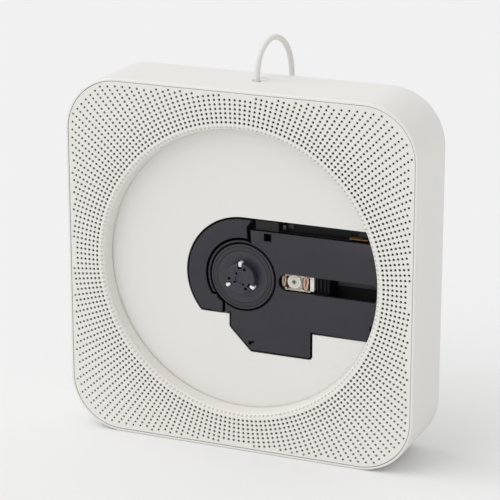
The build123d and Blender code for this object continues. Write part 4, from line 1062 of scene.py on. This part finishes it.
cord_route = [
    (STEM_X, STEM_Y, 171.2), (STEM_X, STEM_Y, 179.4), (2.0, 5.8, 187.4), (4.0, 13.2, 190.6),
    (6.2, 20.4, 187.4), (7.6, 25.2, 179.4), (7.8, 26.6, 167.0), (8.6, 26.0, 147.0), (8.0, 26.6, 110.0),
    (9.2, 27.3, 72.0), (9.0, 26.6, 44.0), (8.0, 27.0, 28.0), (3.5, 27.0, 16.5),
    (-5.5, COIL_Y - OUTER_TRACK_R, COIL_TOP_Z), (COIL_X + 13.5, COIL_Y - OUTER_TRACK_R, COIL_TOP_Z),
    *coil_points(),
    (COIL_X + 11.0, COIL_Y + OUTER_TRACK_R, COIL_LOW_Z),
    (COIL_X + 19.0, COIL_Y + OUTER_TRACK_R, COIL_LOW_Z + 0.05),
    (-2.0, 64.15, 3.1), (7.0, 62.4, 4.4), (15.0, 62.4, 4.4),
]


def smooth_line(name, route):
    """Points along the NURBS line that the route steers, in metres."""
    data = bpy.data.curves.new(name, "CURVE")
    data.dimensions = "3D"
    spline = data.splines.new("NURBS")
    spline.points.add(len(route) - 1)
    for point, place in zip(spline.points, route):
        point.co = (place[0] * MM, place[1] * MM, place[2] * MM, 1.0)
    spline.order_u = 3
    spline.use_endpoint_u = True
    spline.resolution_u = 4
    holder = new_object(name, data)
    bpy.context.view_layer.update()
    mesh = bpy.data.meshes.new_from_object(holder.evaluated_get(bpy.context.evaluated_depsgraph_get()))
    points = [vertex.co.copy() for vertex in mesh.vertices]
    bpy.data.objects.remove(holder)
    return points


cord_line = smooth_line("cord_line", cord_route)
cord_length = sum((b - a).length for a, b in zip(cord_line, cord_line[1:]))
lead = tube("lead", [cord_line], CORD_D / 2, cord_white)
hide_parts("power_cord", "cord_coil", "cord_tail")
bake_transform(lead)
tuple(cord_line[0])

# ---- studio: camera, lamp, floor ----
FOCAL_PIXELS, PICTURE_PIXELS, SENSOR = 2282.2, 500, 36
CAMERA_PLACE, CAMERA_DIP, CAMERA_TURN = (0.3932, -0.9279, 0.4059), 17.31, 23.075
FLOOR_REACH, FLOOR_PAINT = 6.0, (0.86, 0.86, 0.86, 1)
SKY_STRENGTH = 0.74
SUN_TOWARDS, SUN_WIDTH, SUN_STRENGTH = Vector((-0.57, -0.36, 0.74)), 70, 1.22


def studio():
    scene = bpy.context.scene
    camera_data = bpy.data.cameras.new("camera")
    camera_data.sensor_width = SENSOR
    camera_data.lens = FOCAL_PIXELS / PICTURE_PIXELS * SENSOR
    camera_data.clip_start = 0.05
    camera_data.clip_end = 20
    scene.camera = new_object("camera", camera_data)
    scene.camera.location = CAMERA_PLACE
    scene.camera.rotation_euler = (radians(90 - CAMERA_DIP), 0, radians(CAMERA_TURN))

    form = bmesh.new()
    bmesh.ops.create_grid(form, x_segments=1, y_segments=1, size=FLOOR_REACH)
    paper, *_ = blank_finish("floor paper", Base_Color=FLOOR_PAINT, Roughness=0.9, Specular_IOR_Level=0.1)
    floor = as_piece("floor", mesh_from(form, "floor"), paper)

    world = bpy.data.worlds.new("studio")
    scene.world = world
    world.use_nodes = True
    sky = world.node_tree.nodes["Background"].inputs
    sky["Color"].default_value = (1.0, 1.0, 1.0, 1)
    sky["Strength"].default_value = SKY_STRENGTH

    sun = bpy.data.lights.new("key sun", "SUN")
    sun.angle = radians(SUN_WIDTH)
    sun.energy = SUN_STRENGTH
    lamp = new_object("key sun", sun)
    lamp.location = SUN_TOWARDS * 3
    lamp.rotation_euler = SUN_TOWARDS.to_track_quat("Z", "Y").to_euler()
    scene.view_settings.view_transform = "Standard"


studio()
